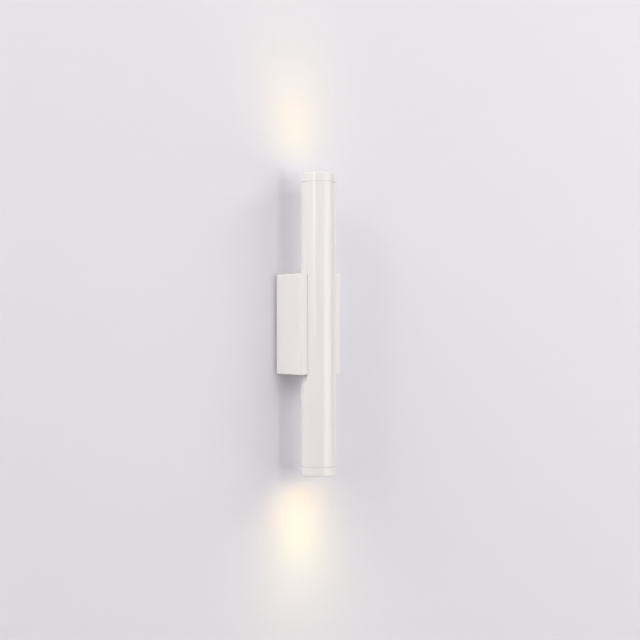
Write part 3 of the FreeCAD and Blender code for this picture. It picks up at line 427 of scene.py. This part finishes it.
tree, shader = start_finish("black_rubber", Roughness=0.62)
noise = use(tree, grain, Fine_Size=0.3 * MM, Broad_Size=8 * MM)
bloom = blend_colours(tree, noise.outputs["Broad"], (0.016, 0.016, 0.017), (0.034, 0.033, 0.032))
tree.links.new(bloom, shader.inputs["Base Color"])
tree.links.new(remap(tree, noise.outputs["Fine"], 0.5, 0.75), shader.inputs["Roughness"])
raise_surface(tree, shader, noise.outputs["Fine"], 0.01 * MM)

tree, shader = start_finish("black_foam", Roughness=0.9)
place = add(tree, "ShaderNodeTexCoord").outputs["Object"]
cells = add(tree, "ShaderNodeTexVoronoi", {"Vector": place, "Scale": 1 / FOAM_CELL})
# the cells' distance sets the pits' depth and also their colour: the pits are painted darker, which
# is painted shade
pit_and_shade = cells.outputs["Distance"]
tree.links.new(blend_colours(tree, pit_and_shade, (0.012, 0.012, 0.013), (0.06, 0.06, 0.062)),
               shader.inputs["Base Color"])
raise_surface(tree, shader, pit_and_shade, FOAM_PIT_DEPTH)

tree, shader = start_finish("clear_silicone", Base_Color=(0.82, 0.82, 0.8, 1), Roughness=0.35,
                            Subsurface_Weight=0.3, Subsurface_Scale=2 * MM)
noise = use(tree, grain, Fine_Size=0.5 * MM, Broad_Size=5 * MM)
tree.links.new(remap(tree, noise.outputs["Broad"], 0.28, 0.42), shader.inputs["Roughness"])
raise_surface(tree, shader, noise.outputs["Fine"], 0.004 * MM)
print("soft finishes ready")

# %% [markdown]
# ## Metals
#
# The bracket and its screws are steel with a thin zinc plating, which is a cool grey with
# cloudy patches, over the long lines of the rolled sheet. The terminal screws and the earth
# screw are brass. The plug behind each lamp is turned aluminium with rings from the tool, and
# the reflector is spun and polished. All are the same idea with other colours and line
# directions, so one function makes them.

# %% Plated, turned and polished metal
def make_metal(slot, dark, light, gloss, line_sizes, depth):
    """Metal whose lines are given by their sizes across X, Y and Z; gloss is a range."""
    tree, shader = start_finish(slot, Metallic=1.0)
    clouds = use(tree, grain, Fine_Size=0.6 * MM, Broad_Size=7 * MM).outputs["Broad"]
    lines = use(tree, tool_lines, X_Size=line_sizes[0], Y_Size=line_sizes[1],
                Z_Size=line_sizes[2]).outputs["Lines"]
    tree.links.new(blend_colours(tree, clouds, dark, light), shader.inputs["Base Color"])
    tree.links.new(remap(tree, lines, *gloss), shader.inputs["Roughness"])
    raise_surface(tree, shader, lines, depth)


LONG = 40 * MM
EVEN_GRAIN = (0.4 * MM, 0.4 * MM, 0.4 * MM)
make_metal("zinc_steel", (0.47, 0.48, 0.5), (0.68, 0.69, 0.7), (0.25, 0.48),
           (0.25 * MM, 0.25 * MM, LONG), 0.004 * MM)
make_metal("zinc_screws", (0.52, 0.53, 0.55), (0.72, 0.73, 0.74), (0.2, 0.4),
           EVEN_GRAIN, 0.003 * MM)
make_metal("brass_screws", (0.66, 0.47, 0.18), (0.83, 0.64, 0.3), (0.16, 0.34),
           EVEN_GRAIN, 0.003 * MM)
make_metal("bare_aluminium", (0.6, 0.61, 0.62), (0.76, 0.77, 0.78), (0.22, 0.42),
           (LONG, LONG, 0.22 * MM), 0.006 * MM)
make_metal("bright_aluminium", (0.82, 0.82, 0.83), (0.92, 0.92, 0.92), (0.06, 0.14),
           (LONG, LONG, 0.3 * MM), 0.001 * MM)
print("metals ready")

# %% [markdown]
# ## Plastics
#
# The driver's case, the terminal block and the leads are moulded or drawn plastics. A spark-cut
# mould leaves a fine even texture, nylon is waxy and lets light a little way in, and a silicone
# sleeve is smooth with a soft sheen. The lamp itself is a low disc of yellow phosphor gel. Each
# could have a function of its own, but all are a mottled colour with a fine grain, so one
# function makes them and each adds its own extras.

# %% Plastics
PLASTIC_PATCH = 10 * MM


def make_plastic(slot, dark, light, gloss, texture, **settings):
    """Plastic with a mottled colour; texture is the size and the depth of its grain."""
    tree, shader = start_finish(slot, **settings)
    noise = use(tree, grain, Fine_Size=texture[0], Broad_Size=PLASTIC_PATCH)
    tree.links.new(blend_colours(tree, noise.outputs["Broad"], dark, light),
                   shader.inputs["Base Color"])
    tree.links.new(remap(tree, noise.outputs["Fine"], *gloss), shader.inputs["Roughness"])
    raise_surface(tree, shader, noise.outputs["Fine"], texture[1])


make_plastic("driver_plastic", (0.7, 0.71, 0.72), (0.78, 0.79, 0.8), (0.45, 0.62),
             (0.18 * MM, 0.015 * MM))
make_plastic("white_nylon", (0.76, 0.76, 0.72), (0.84, 0.84, 0.8), (0.38, 0.5),
             (0.8 * MM, 0.004 * MM), Subsurface_Weight=0.15, Subsurface_Scale=1 * MM)
make_plastic("lead_sleeve", (0.76, 0.76, 0.73), (0.85, 0.85, 0.82), (0.3, 0.42),
             (0.6 * MM, 0.003 * MM), Sheen_Weight=0.1)
make_plastic("component_black", (0.02, 0.02, 0.022), (0.045, 0.045, 0.048), (0.4, 0.6),
             (0.2 * MM, 0.01 * MM))
make_plastic("phosphor", (0.88, 0.62, 0.12), (0.95, 0.74, 0.24), (0.3, 0.4),
             (0.5 * MM, 0.01 * MM), Coat_Weight=0.4, Coat_Roughness=0.1)
print("plastics ready")

# %% [markdown]
# ## Circuit boards
#
# The lamp's board is white and the driver's is green. Both have copper tracks under the mask
# that show as faint raised lines. Real tracks could be drawn one by one, but under the mask they
# are hardly seen, so the joints of a brick pattern stand in for them. The pattern lies in X and
# Y. The lamp's board lies flat, so there it is only turned about Z, and the driver's board
# stands upright, so there it is turned up about X.

# %% Circuit boards
TRACK_SPACING = 1.6 * MM
TRACK_WIDTH = 0.18 * MM
TRACK_HEIGHT = 0.03 * MM
TRACK_LENGTH = TRACK_SPACING * 4


def make_board_finish(slot, mask_colour, track_colour, turn_axis):
    """A solder mask over copper tracks: bricks in the height, turned to lie in the board."""
    tree, shader = start_finish(slot, Roughness=0.32, Coat_Weight=0.2)
    place = add(tree, "ShaderNodeTexCoord").outputs["Object"]
    flat = add(tree, "ShaderNodeVectorRotate", {"Vector": place, "Angle": math.radians(90)},
               rotation_type=turn_axis)
    tracks = add(tree, "ShaderNodeTexBrick",
                 {"Vector": flat.outputs[0], "Scale": 1.0, "Mortar Size": TRACK_WIDTH,
                  "Mortar Smooth": 0.3, "Brick Width": TRACK_LENGTH,
                  "Row Height": TRACK_SPACING})
    line = tracks.outputs["Fac"]
    tree.links.new(blend_colours(tree, line, mask_colour, track_colour),
                   shader.inputs["Base Color"])
    tree.links.new(remap(tree, line, 0.34, 0.26), shader.inputs["Roughness"])
    raise_surface(tree, shader, line, TRACK_HEIGHT)


make_board_finish("white_board", (0.82, 0.82, 0.8), (0.72, 0.72, 0.68), "Z_AXIS")
make_board_finish("circuit_board", (0.02, 0.14, 0.05), (0.06, 0.26, 0.1), "X_AXIS")
print(len(FINISHES), "finishes")

# %% [markdown]
# ## Dress the solids
#
# The record that came with the model says which material slot each solid has. Reading it there
# keeps the two in step: a solid that is added later gets its finish with no change here.

# %% Give every solid its finish
for part in frame["record"]["subparts"]:
    solid = nodes[part["node"]]
    for slot in solid.material_slots:
        slot.material = FINISHES[part["material_slot"]]

# %% [markdown]
# ## Turned surfaces
#
# An end ring and a screw are both turned on a lathe, so each is a profile swept round an axis.
# Blender's Screw modifier would sweep a drawn profile, but couldn't cut a thread or a hexagonal
# socket into it. So the surface is worked out as a grid: one direction runs along the profile
# and the other round the axis, and the radius of any point may depend on both.

# %% Profiles with rounded corners
MOST_CUT = 0.35      # the largest share of a side that a corner may take
GUARD_STEP = 0.3     # how far past a cut its extra point lies, as a share of the cut
ON_THE_LINE = 1e-7   # metres


def rounded_profile(corners, radius, steps):
    """A closed outline (radius, height) whose corners are rounded, as an array of points.

    Each corner is cut back by a little along both of its sides, and the points between are a
    quadratic curve that leaves one side and joins the other: (1-t)^2 a + 2t(1-t) c + t^2 b,
    for a corner c and its cut points a and b. One more point on each side, a little further
    from the corner, keeps the shading of the flat between two corners flat.
    """
    corner = np.asarray(corners, float)
    before, after = np.roll(corner, 1, axis=0), np.roll(corner, -1, axis=0)
    back, on = before - corner, after - corner
    back_length = np.linalg.norm(back, axis=1, keepdims=True)
    on_length = np.linalg.norm(on, axis=1, keepdims=True)
    cut = np.minimum(radius, MOST_CUT * np.minimum(back_length, on_length))
    a, b = corner + back / back_length * cut, corner + on / on_length * cut
    t = np.linspace(0, 1, steps)[None, :, None]
    arc = (1 - t) ** 2 * a[:, None] + 2 * t * (1 - t) * corner[:, None] + t ** 2 * b[:, None]
    first, last = a + (a - corner) * GUARD_STEP, b + (b - corner) * GUARD_STEP
    return np.concatenate([first[:, None], arc, last[:, None]], axis=1).reshape(-1, 2)


def refine(profile, at_radius, spacing):
    """The same outline, with points at every spacing along its upright side at one radius."""
    after = np.roll(profile, -1, axis=0)
    off_side = np.maximum(abs(profile - after)[:, 0], abs(profile[:, 0] - at_radius))
    on_side = off_side < ON_THE_LINE
    wanted = np.ceil(np.linalg.norm(after - profile, axis=1) / spacing).astype(int)
    parts = np.where(on_side, np.maximum(wanted, 1), 1)
    start = np.repeat(np.arange(len(profile)), parts)
    first = np.repeat(np.cumsum(parts) - parts, parts)
    share = ((np.arange(parts.sum()) - first) / parts[start])[:, None]
    return profile[start] * (1 - share) + after[start] * share


print("profile tools ready")

# %% [markdown]
# A grid of points isn't a surface yet: each point has to be joined to the next along the
# profile and to the next round the axis. That could be done face by face in a loop, but with
# whole arrays of point numbers it is one step, and fast even for a fine thread.

# %% Grids made into meshes
def put_mesh(name, points, faces):
    """Puts an array of points and lists of faces into a smooth-shaded mesh object."""
    mesh = bpy.data.meshes.new(name)
    mesh.from_pydata(points.tolist(), [], [face for part in faces for face in part.tolist()])
    mesh.validate()
    mesh.shade_smooth()
    piece = bpy.data.objects.new(name, mesh)
    bpy.context.scene.collection.objects.link(piece)
    return piece


def turned_points(radius, height, angle, offset):
    """Points x = r cos a, y = r sin a, z = h, all moved by one offset, as a list of points."""
    points = np.stack([radius * np.cos(angle), radius * np.sin(angle), height], axis=-1)
    return points.reshape(-1, 3) + np.asarray(offset)


def grid_faces(along, around, closed):
    """Joins each point of a grid to the next along it and the next round it.

    Round the axis the grid always closes. Along the profile it closes for a ring; otherwise
    its first and last rows are one point each, in the middle, and have triangles round them.
    """
    poles = 0 if closed else around - 1
    index = np.clip(np.arange(along * around) - poles, 0, along * around - 2 * poles - 1)
    index = index.reshape(along, around)
    if closed:
        index = np.vstack([index, index[:1]])
    here, there = index[:-1], index[1:]
    quads = np.stack([here, np.roll(here, -1, axis=1), np.roll(there, -1, axis=1), there], axis=-1)
    if closed:
        return [quads.reshape(-1, 4)]
    return [quads[1:-1].reshape(-1, 4), quads[0][:, [0, 2, 3]], quads[-1][:, [0, 1, 2]]]


print("grid tools ready")

# %% [markdown]
# The lower ring and the lower screw are the upper ones turned over. A mirror would turn them
# over too, but would make their right-hand threads left-handed, so they get half a turn instead.
# Each new piece then needs its finish, the body that it moves with, and the names of the
# solids that it stands in for.

# %% Finish a new piece
HALF_TURN = np.array([-1, 1, -1])    # what half a turn about Y does to X, Y and Z


def finish_piece(piece, slot, body, *replaced):
    """Gives a new piece its finish, the body that it moves with and the solids it replaces."""
    piece.data.materials.append(FINISHES[slot])
    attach(piece, body)
    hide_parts(*replaced)
    low, high = (Vector(corner) for corner in (piece.bound_box[0], piece.bound_box[6]))
    print(piece.name, len(piece.data.polygons), "faces, z", round(low.z, 4), "to", round(high.z, 4))


print("piece tools ready")

# %% [markdown]
# ## The end rings and their thread
#
# Each end ring screws into the tube: outside it is smooth and as wide as the tube, with a
# bevel at its end that catches the light. Below its shoulder a thin threaded spigot goes down
# inside, and a thin skirt covers the seal, so that only a hairline shows where ring and tube
# meet. The solid has a plain spigot and no skirt. Here the thread is cut as the real one is:
# the ridge climbs one pitch in each turn, so its phase is the height over the pitch less the
# turn, and it fades out at both ends where the tool runs in and out.

# %% Make the end rings
BEVEL = 0.8 * MM
EDGE_ROUND = 0.15 * MM
RING_STEPS = 256
CORNER_STEPS = 4
THREAD_FADE = 0.8 * MM
THREAD_SPACING = THREAD_PITCH / 10    # between the points that carry the thread


def ridge(phase):
    """A triangle wave from 0 at whole numbers to 1 halfway between them."""
    return 1 - np.abs((phase % 1) * 2 - 1)


def ring_profile():
    """The end ring's section, from its opening in and round to its outside."""
    opening = TUBE_R - LIP_WIDTH
    skirt_r = (seam_high.x - seam_low.x) / 2 + FACE_GAP
    skirt_end = tube_high.z + FACE_GAP - END_Z
    return [(opening, 0), (opening, -LIP_THICKNESS), (bore_r, -LIP_THICKNESS),
            (bore_r, groove_top), (groove_r, groove_top), (groove_r, groove_bottom),
            (bore_r, groove_bottom), (bore_r, spigot_end), (spigot_r, spigot_end),
            (spigot_r, shoulder), (skirt_r, shoulder), (skirt_r, skirt_end),
            (TUBE_R, skirt_end), (TUBE_R, -BEVEL), (TUBE_R - BEVEL, 0)]


def make_end_ring(end):
    """The ring as a turned grid with the thread taken off the spigot's outside."""
    rounded = rounded_profile(ring_profile(), EDGE_ROUND, CORNER_STEPS)
    section = refine(rounded, spigot_r, THREAD_SPACING)
    angle = np.linspace(0, math.tau, RING_STEPS, endpoint=False)[None, :]
    radius, height = section[:, :1] + 0 * angle, section[:, 1:] + 0 * angle
    room = np.minimum(height - spigot_end, shoulder - height) / THREAD_FADE
    cut = ridge(height / THREAD_PITCH - angle / math.tau) * np.clip(room, 0, 1) * THREAD_DEPTH
    on_spigot = abs(radius - spigot_r) < EDGE_ROUND / 4
    points = turned_points(radius - on_spigot * cut, height + END_Z, angle, (0, 0, 0))
    if end == "lower":
        points = points * HALF_TURN
    faces = grid_faces(*radius.shape, closed=True)
    return put_mesh(f"{end}_end_ring", points + np.array([0, AXIS_Y, 0]), faces)


for end in ("upper", "lower"):
    finish_piece(make_end_ring(end), "white_powder_coat", f"{end}_bezel_set", f"{end}_bezel")

# %% [markdown]
# ## The locking screws
#
# One countersunk screw in the top of the box and one in the bottom hold it to the bracket. They
# are small but can be seen from above and below, and a plain disc would look wrong. The head
# has a six-sided socket: in a hexagon whose flats are a distance s from the middle, the wall
# lies at s / cos(a), where a is the angle from the nearest flat. A fine thread runs down the
# shank below the head.

# %% Make the locking screws
screw_low, screw_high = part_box("housing_screws")
SCREW_Y = (screw_low.y + screw_high.y) / 2
SCREW_HEAD_R = (screw_high.x - screw_low.x) / 2
SCREW_R = 1.5 * MM
SCREW_LENGTH = 6 * MM
SOCKET_FLAT = 1.0 * MM
SOCKET_DEPTH = 1.2 * MM
SOCKET_CHAMFER = 0.25 * MM
RIM = 0.15 * MM
SCREW_PITCH = 0.5 * MM
SCREW_ROUND = 0.05 * MM
SCREW_CORNER_STEPS = 3
SCREW_SPACING = SCREW_PITCH / 8
SCREW_STEPS = 96
SIXTH_TURN = math.tau / 6


def screw_profile():
    """From the middle of the socket's floor, up its wall, over the head and down the shank."""
    return [(0, -SOCKET_DEPTH), (SOCKET_FLAT, -SOCKET_DEPTH), (SOCKET_FLAT, -SOCKET_CHAMFER),
            (SOCKET_FLAT + SOCKET_CHAMFER, 0), (SCREW_HEAD_R - RIM, 0), (SCREW_HEAD_R, -RIM),
            (SCREW_R, SCREW_R - SCREW_HEAD_R), (SCREW_R, -SCREW_LENGTH + SCREW_PITCH),
            (SCREW_R - SCREW_PITCH, -SCREW_LENGTH), (0, -SCREW_LENGTH)]


def make_lock_screw(end, name):
    """The screw as a turned grid: a hexagon inside, a thread outside, closed at the middle."""
    corners = screw_profile()
    rounded = rounded_profile(corners[1:-1], SCREW_ROUND, SCREW_CORNER_STEPS)
    section = refine(np.vstack([corners[:1], rounded, corners[-1:]]), SCREW_R, SCREW_SPACING)
    angle = -np.linspace(0, math.tau, SCREW_STEPS, endpoint=False)[None, :]
    radius, height = section[:, :1] + 0 * angle, section[:, 1:] + 0 * angle
    flat_angle = (angle + SIXTH_TURN / 2) % SIXTH_TURN - SIXTH_TURN / 2
    in_socket = (radius < SOCKET_FLAT + RIM / 2) & (height > -SOCKET_DEPTH - RIM)
    radius = np.where(in_socket, radius / np.cos(flat_angle), radius)
    room = np.clip(-(height + SCREW_HEAD_R) / SCREW_PITCH, 0, 1)
    cut = ridge(height / SCREW_PITCH - angle / math.tau) * room * SCREW_PITCH / 2
    on_shank = (radius > SCREW_R - RIM) & (height > -SCREW_LENGTH + SCREW_PITCH)
    points = turned_points(radius - on_shank * cut, height, angle, (0, 0, screw_high.z))
    points = points[SCREW_STEPS - 1:1 - SCREW_STEPS]    # one point of the first and last rows
    if end == "lower":
        points = points * HALF_TURN
    faces = grid_faces(*radius.shape, closed=False)
    return put_mesh(name, points + np.array([0, SCREW_Y, 0]), faces)


for end, name in (("upper", "top_lock_screw"), ("lower", "bottom_lock_screw")):
    finish_piece(make_lock_screw(end, name), "white_screws", "fixture", "housing_screws")

# %% [markdown]
# ## Wall and floor
#
# A wall light needs its wall: half of its look is the shadow and the glow that it throws there.
# The wall is one large face just behind the light, and a floor lies well below. They could be
# boxes, but no view sees an edge close by, so a face with four corners is enough. Both are
# stage, not part of the object.

# %% A face for the stage
WALL_Y = 0.6 * MM
WALL_HALF_WIDTH = 3.0
FLOOR_Z = -2.0
CEILING_Z = 2.0


def stage_face(name, centre, half_across, half_up, material):
    """One flat face from its centre and its two half sides."""
    centre, across, up = (np.array(v, float) for v in (centre, half_across, half_up))
    signs = np.array([(-1, -1), (1, -1), (1, 1), (-1, 1)])
    corners = centre + signs[:, :1] * across + signs[:, 1:] * up
    face = put_mesh(name, corners, [np.array([[0, 1, 2, 3]])])
    face.data.materials.append(material)


print("stage from z", FLOOR_Z, "to", CEILING_Z)

# %% [markdown]
# Seen from behind, the wall would hide everything, so it is painted only on the room's side and
# clear on the other, and it lets light reach the back of the light. The soft boxes leave the
# floor dim. It could have lamps of its own, but they would light the wall as well, so it just
# looks paler to the camera.

# %% Paint the wall and the floor
CLOSE_TO_WALL = 2 * MM
WALL_WHITE = (0.805, 0.785, 0.825)
FLOOR_WHITE = (0.7, 0.695, 0.7)
FLOOR_LIFT = 0.8


def make_stage_paint(name, colour, lift):
    """Matt paint on the front of a face, where lift adds brightness that only the camera sees.

    Rays from behind the face pass through as if it weren't there, and so do rays that have
    come less than CLOSE_TO_WALL, from the back of the light.
    """
    material = bpy.data.materials.new(name)
    material.use_nodes = True
    tree = material.node_tree
    tree.nodes.remove(tree.nodes["Principled BSDF"])
    path = add(tree, "ShaderNodeLightPath").outputs
    paint = add(tree, "ShaderNodeBsdfDiffuse", {"Color": (*colour, 1)})
    strength = calc(tree, "MULTIPLY", path["Is Camera Ray"], lift)
    pale = add(tree, "ShaderNodeEmission", {"Color": (*colour, 1), "Strength": strength})
    front = add(tree, "ShaderNodeAddShader", {0: paint.outputs[0], 1: pale.outputs[0]})
    clear = add(tree, "ShaderNodeBsdfTransparent")
    from_behind = add(tree, "ShaderNodeNewGeometry").outputs["Backfacing"]
    close = calc(tree, "LESS_THAN", path["Ray Length"], CLOSE_TO_WALL)
    passes = calc(tree, "MAXIMUM", from_behind, close)
    either = add(tree, "ShaderNodeMixShader", {0: passes})
    tree.links.new(front.outputs[0], either.inputs[1])
    tree.links.new(clear.outputs[0], either.inputs[2])
    tree.links.new(either.outputs[0], tree.nodes["Material Output"].inputs["Surface"])
    return material


stage_face("wall", (0, WALL_Y, (CEILING_Z + FLOOR_Z) / 2), (WALL_HALF_WIDTH, 0, 0),
           (0, 0, (CEILING_Z - FLOOR_Z) / 2), make_stage_paint("wall_paint", WALL_WHITE, lift=0))
stage_face("floor", (0, WALL_Y - WALL_HALF_WIDTH, FLOOR_Z), (WALL_HALF_WIDTH, 0, 0),
           (0, WALL_HALF_WIDTH, 0), make_stage_paint("floor_paint", FLOOR_WHITE, lift=FLOOR_LIFT))
print("wall at y", WALL_Y, "floor at z", FLOOR_Z)

# %% [markdown]
# ## Studio light
#
# The photograph has very soft light: no hard shadow, only a broad, faint one to the left of the
# tube. Large, weak soft boxes on a sphere round the light do that, each given by where it
# hangs, its size and its power. One strong lamp with a small size would give the same
# brightness but hard edges. Two narrow strips draw the long bright lines on the round tube, and
# one very large box behind the wall lights only the back of the light, for views from behind.

# %% Hang the soft boxes
SPHERE_R = 3.0
SOFT_BOXES = [
    # name, azimuth and elevation in degrees, width and height in metres, watts
    ("left_high_box", -78, 34, 1.36, 1.22, 48.0),
    ("left_front_box", -45, 34, 1.36, 1.22, 11.0),
    ("front_high_box", -5, 34, 1.36, 1.22, 16.7),
    ("right_high_box", 45, 32, 1.36, 1.22, 9.7),
    ("far_right_high_box", 60, 30, 1.2, 1.22, 14.9),
    ("left_strip", -66, 8, 0.3, 0.7, 7.5),
    ("front_strip", 6, 4, 0.4, 2.4, 6.0),
    ("front_box", 24, 1, 2.3, 1.6, 26.9),
    ("right_low_box", 60, -22, 1.8, 1.1, 11.6),
    ("back_box", 180, 0, 7.0, 4.5, 60.0),
]


def hang_soft_box(name, azimuth, elevation, width, height, watts):
    """Hangs an area light on the sphere, turned to the light's middle."""
    data = bpy.data.lights.new(name, "AREA")
    data.shape = "RECTANGLE"
    data.size, data.size_y = width, height
    data.energy = watts
    light = bpy.data.objects.new(name, data)
    turn, lift = math.radians(azimuth), math.radians(elevation)
    out = Vector((math.sin(turn) * math.cos(lift), -math.cos(turn) * math.cos(lift),
                  math.sin(lift)))
    light.location = out * SPHERE_R
    light.rotation_euler = out.to_track_quat("Z", "Y").to_euler()
    bpy.context.scene.collection.objects.link(light)


for soft_box in SOFT_BOXES:
    hang_soft_box(*soft_box)
print(len(SOFT_BOXES), "soft boxes")

# %% [markdown]
# ## The room around the stage
#
# Beyond the wall and the floor there is only the world. In the room it stays nearly dark, so
# that the soft boxes alone shape the light. Seen directly, or from behind the wall, it is a pale
# backdrop, which keeps the side and the back of the light easy to see. A second wall behind the
# camera would do the same, but would throw its own light on everything.

# %% Set the backdrop
ROOM_STRENGTH = 0.02
BACKDROP_STRENGTH = 0.7
BEHIND_WALL = 0.85    # the cosine of how far a direction may turn from straight into the wall
BACKDROP_WHITE = (0.98, 0.98, 1.0)

world = bpy.data.worlds.new("studio")
world.use_nodes = True
tree = world.node_tree
background = tree.nodes["Background"]
background.inputs["Color"].default_value = (*BACKDROP_WHITE, 1)
direction = add(tree, "ShaderNodeTexCoord").outputs["Generated"]
depth = add(tree, "ShaderNodeSeparateXYZ", {0: direction}).outputs["Y"]
behind_wall = calc(tree, "GREATER_THAN", depth, BEHIND_WALL)
seen = add(tree, "ShaderNodeLightPath").outputs["Is Camera Ray"]
pale = calc(tree, "MAXIMUM", seen, behind_wall)
tree.links.new(remap(tree, pale, ROOM_STRENGTH, BACKDROP_STRENGTH), background.inputs["Strength"])
bpy.context.scene.world = world
bpy.context.scene.view_settings.view_transform = "Standard"
print("backdrop strength", BACKDROP_STRENGTH)

# %% [markdown]
# ## The two beams
#
# The light's own beams draw a warm pool on the wall above and below it. The reflectors send
# most of the light along the tube's axis, so the wall only catches the edge of each beam, and
# a little light spills out at all angles. A real lamp inside would have to find its way out
# through the frosted glass. Four spot lights just outside each lens, from a tight one to a very
# wide one with fully blended cones, give the same fall-off without the noise.

# %% Light the two ends
BEAM_SOURCE_R = 6 * MM
BEAM_START = 1.0 * MM
CORE_ANGLE = 60
BEAM_ANGLE = 80
WIDE_ANGLE = 110
SPILL_ANGLE = 176
BEAMS = [
    # name, end, tilt in degrees towards +X, cone in degrees, watts, colour
    ("upper_core", "upper", -3, CORE_ANGLE, 0.064, (0.72, 1.0, 0.6)),
    ("upper_beam", "upper", -3, BEAM_ANGLE, 0.098, (1.0, 0.54, 0.0)),
    ("upper_wide", "upper", -3, WIDE_ANGLE, 0.06, (1.0, 0.71, 0.03)),
    ("upper_spill", "upper", 0, SPILL_ANGLE, 0.046, (1.0, 0.75, 0.0)),
    ("lower_core", "lower", 4, CORE_ANGLE, 0.181, (1.0, 0.78, 0.84)),
    ("lower_beam", "lower", 4, BEAM_ANGLE, 0.124, (0.84, 1.0, 0.0)),
    ("lower_wide", "lower", 4, WIDE_ANGLE, 0.065, (1.0, 0.7, 0.0)),
    ("lower_spill", "lower", 4, SPILL_ANGLE, 0.089, (1.0, 0.72, 0.12)),
]


def light_beam(name, end, tilt, cone, watts, colour):
    """A spot light on the tube's axis that shines out of one end, and goes with its ring."""
    data = bpy.data.lights.new(name, "SPOT")
    data.energy = watts
    data.color = colour
    data.spot_size = math.radians(cone)
    data.spot_blend = 1.0
    data.shadow_soft_size = BEAM_SOURCE_R
    beam = bpy.data.objects.new(name, data)
    way = 1 if end == "upper" else -1
    aim = Vector((math.tan(math.radians(tilt)), 0, way))
    beam.location = (0, AXIS_Y, way * (END_Z + BEAM_START))
    beam.rotation_euler = aim.to_track_quat("-Z", "Y").to_euler()
    beam.parent = bpy.data.objects[f"{end}_end_ring"]
    bpy.context.scene.collection.objects.link(beam)


for beam in BEAMS:
    light_beam(*beam)
print(len(BEAMS), "beams")
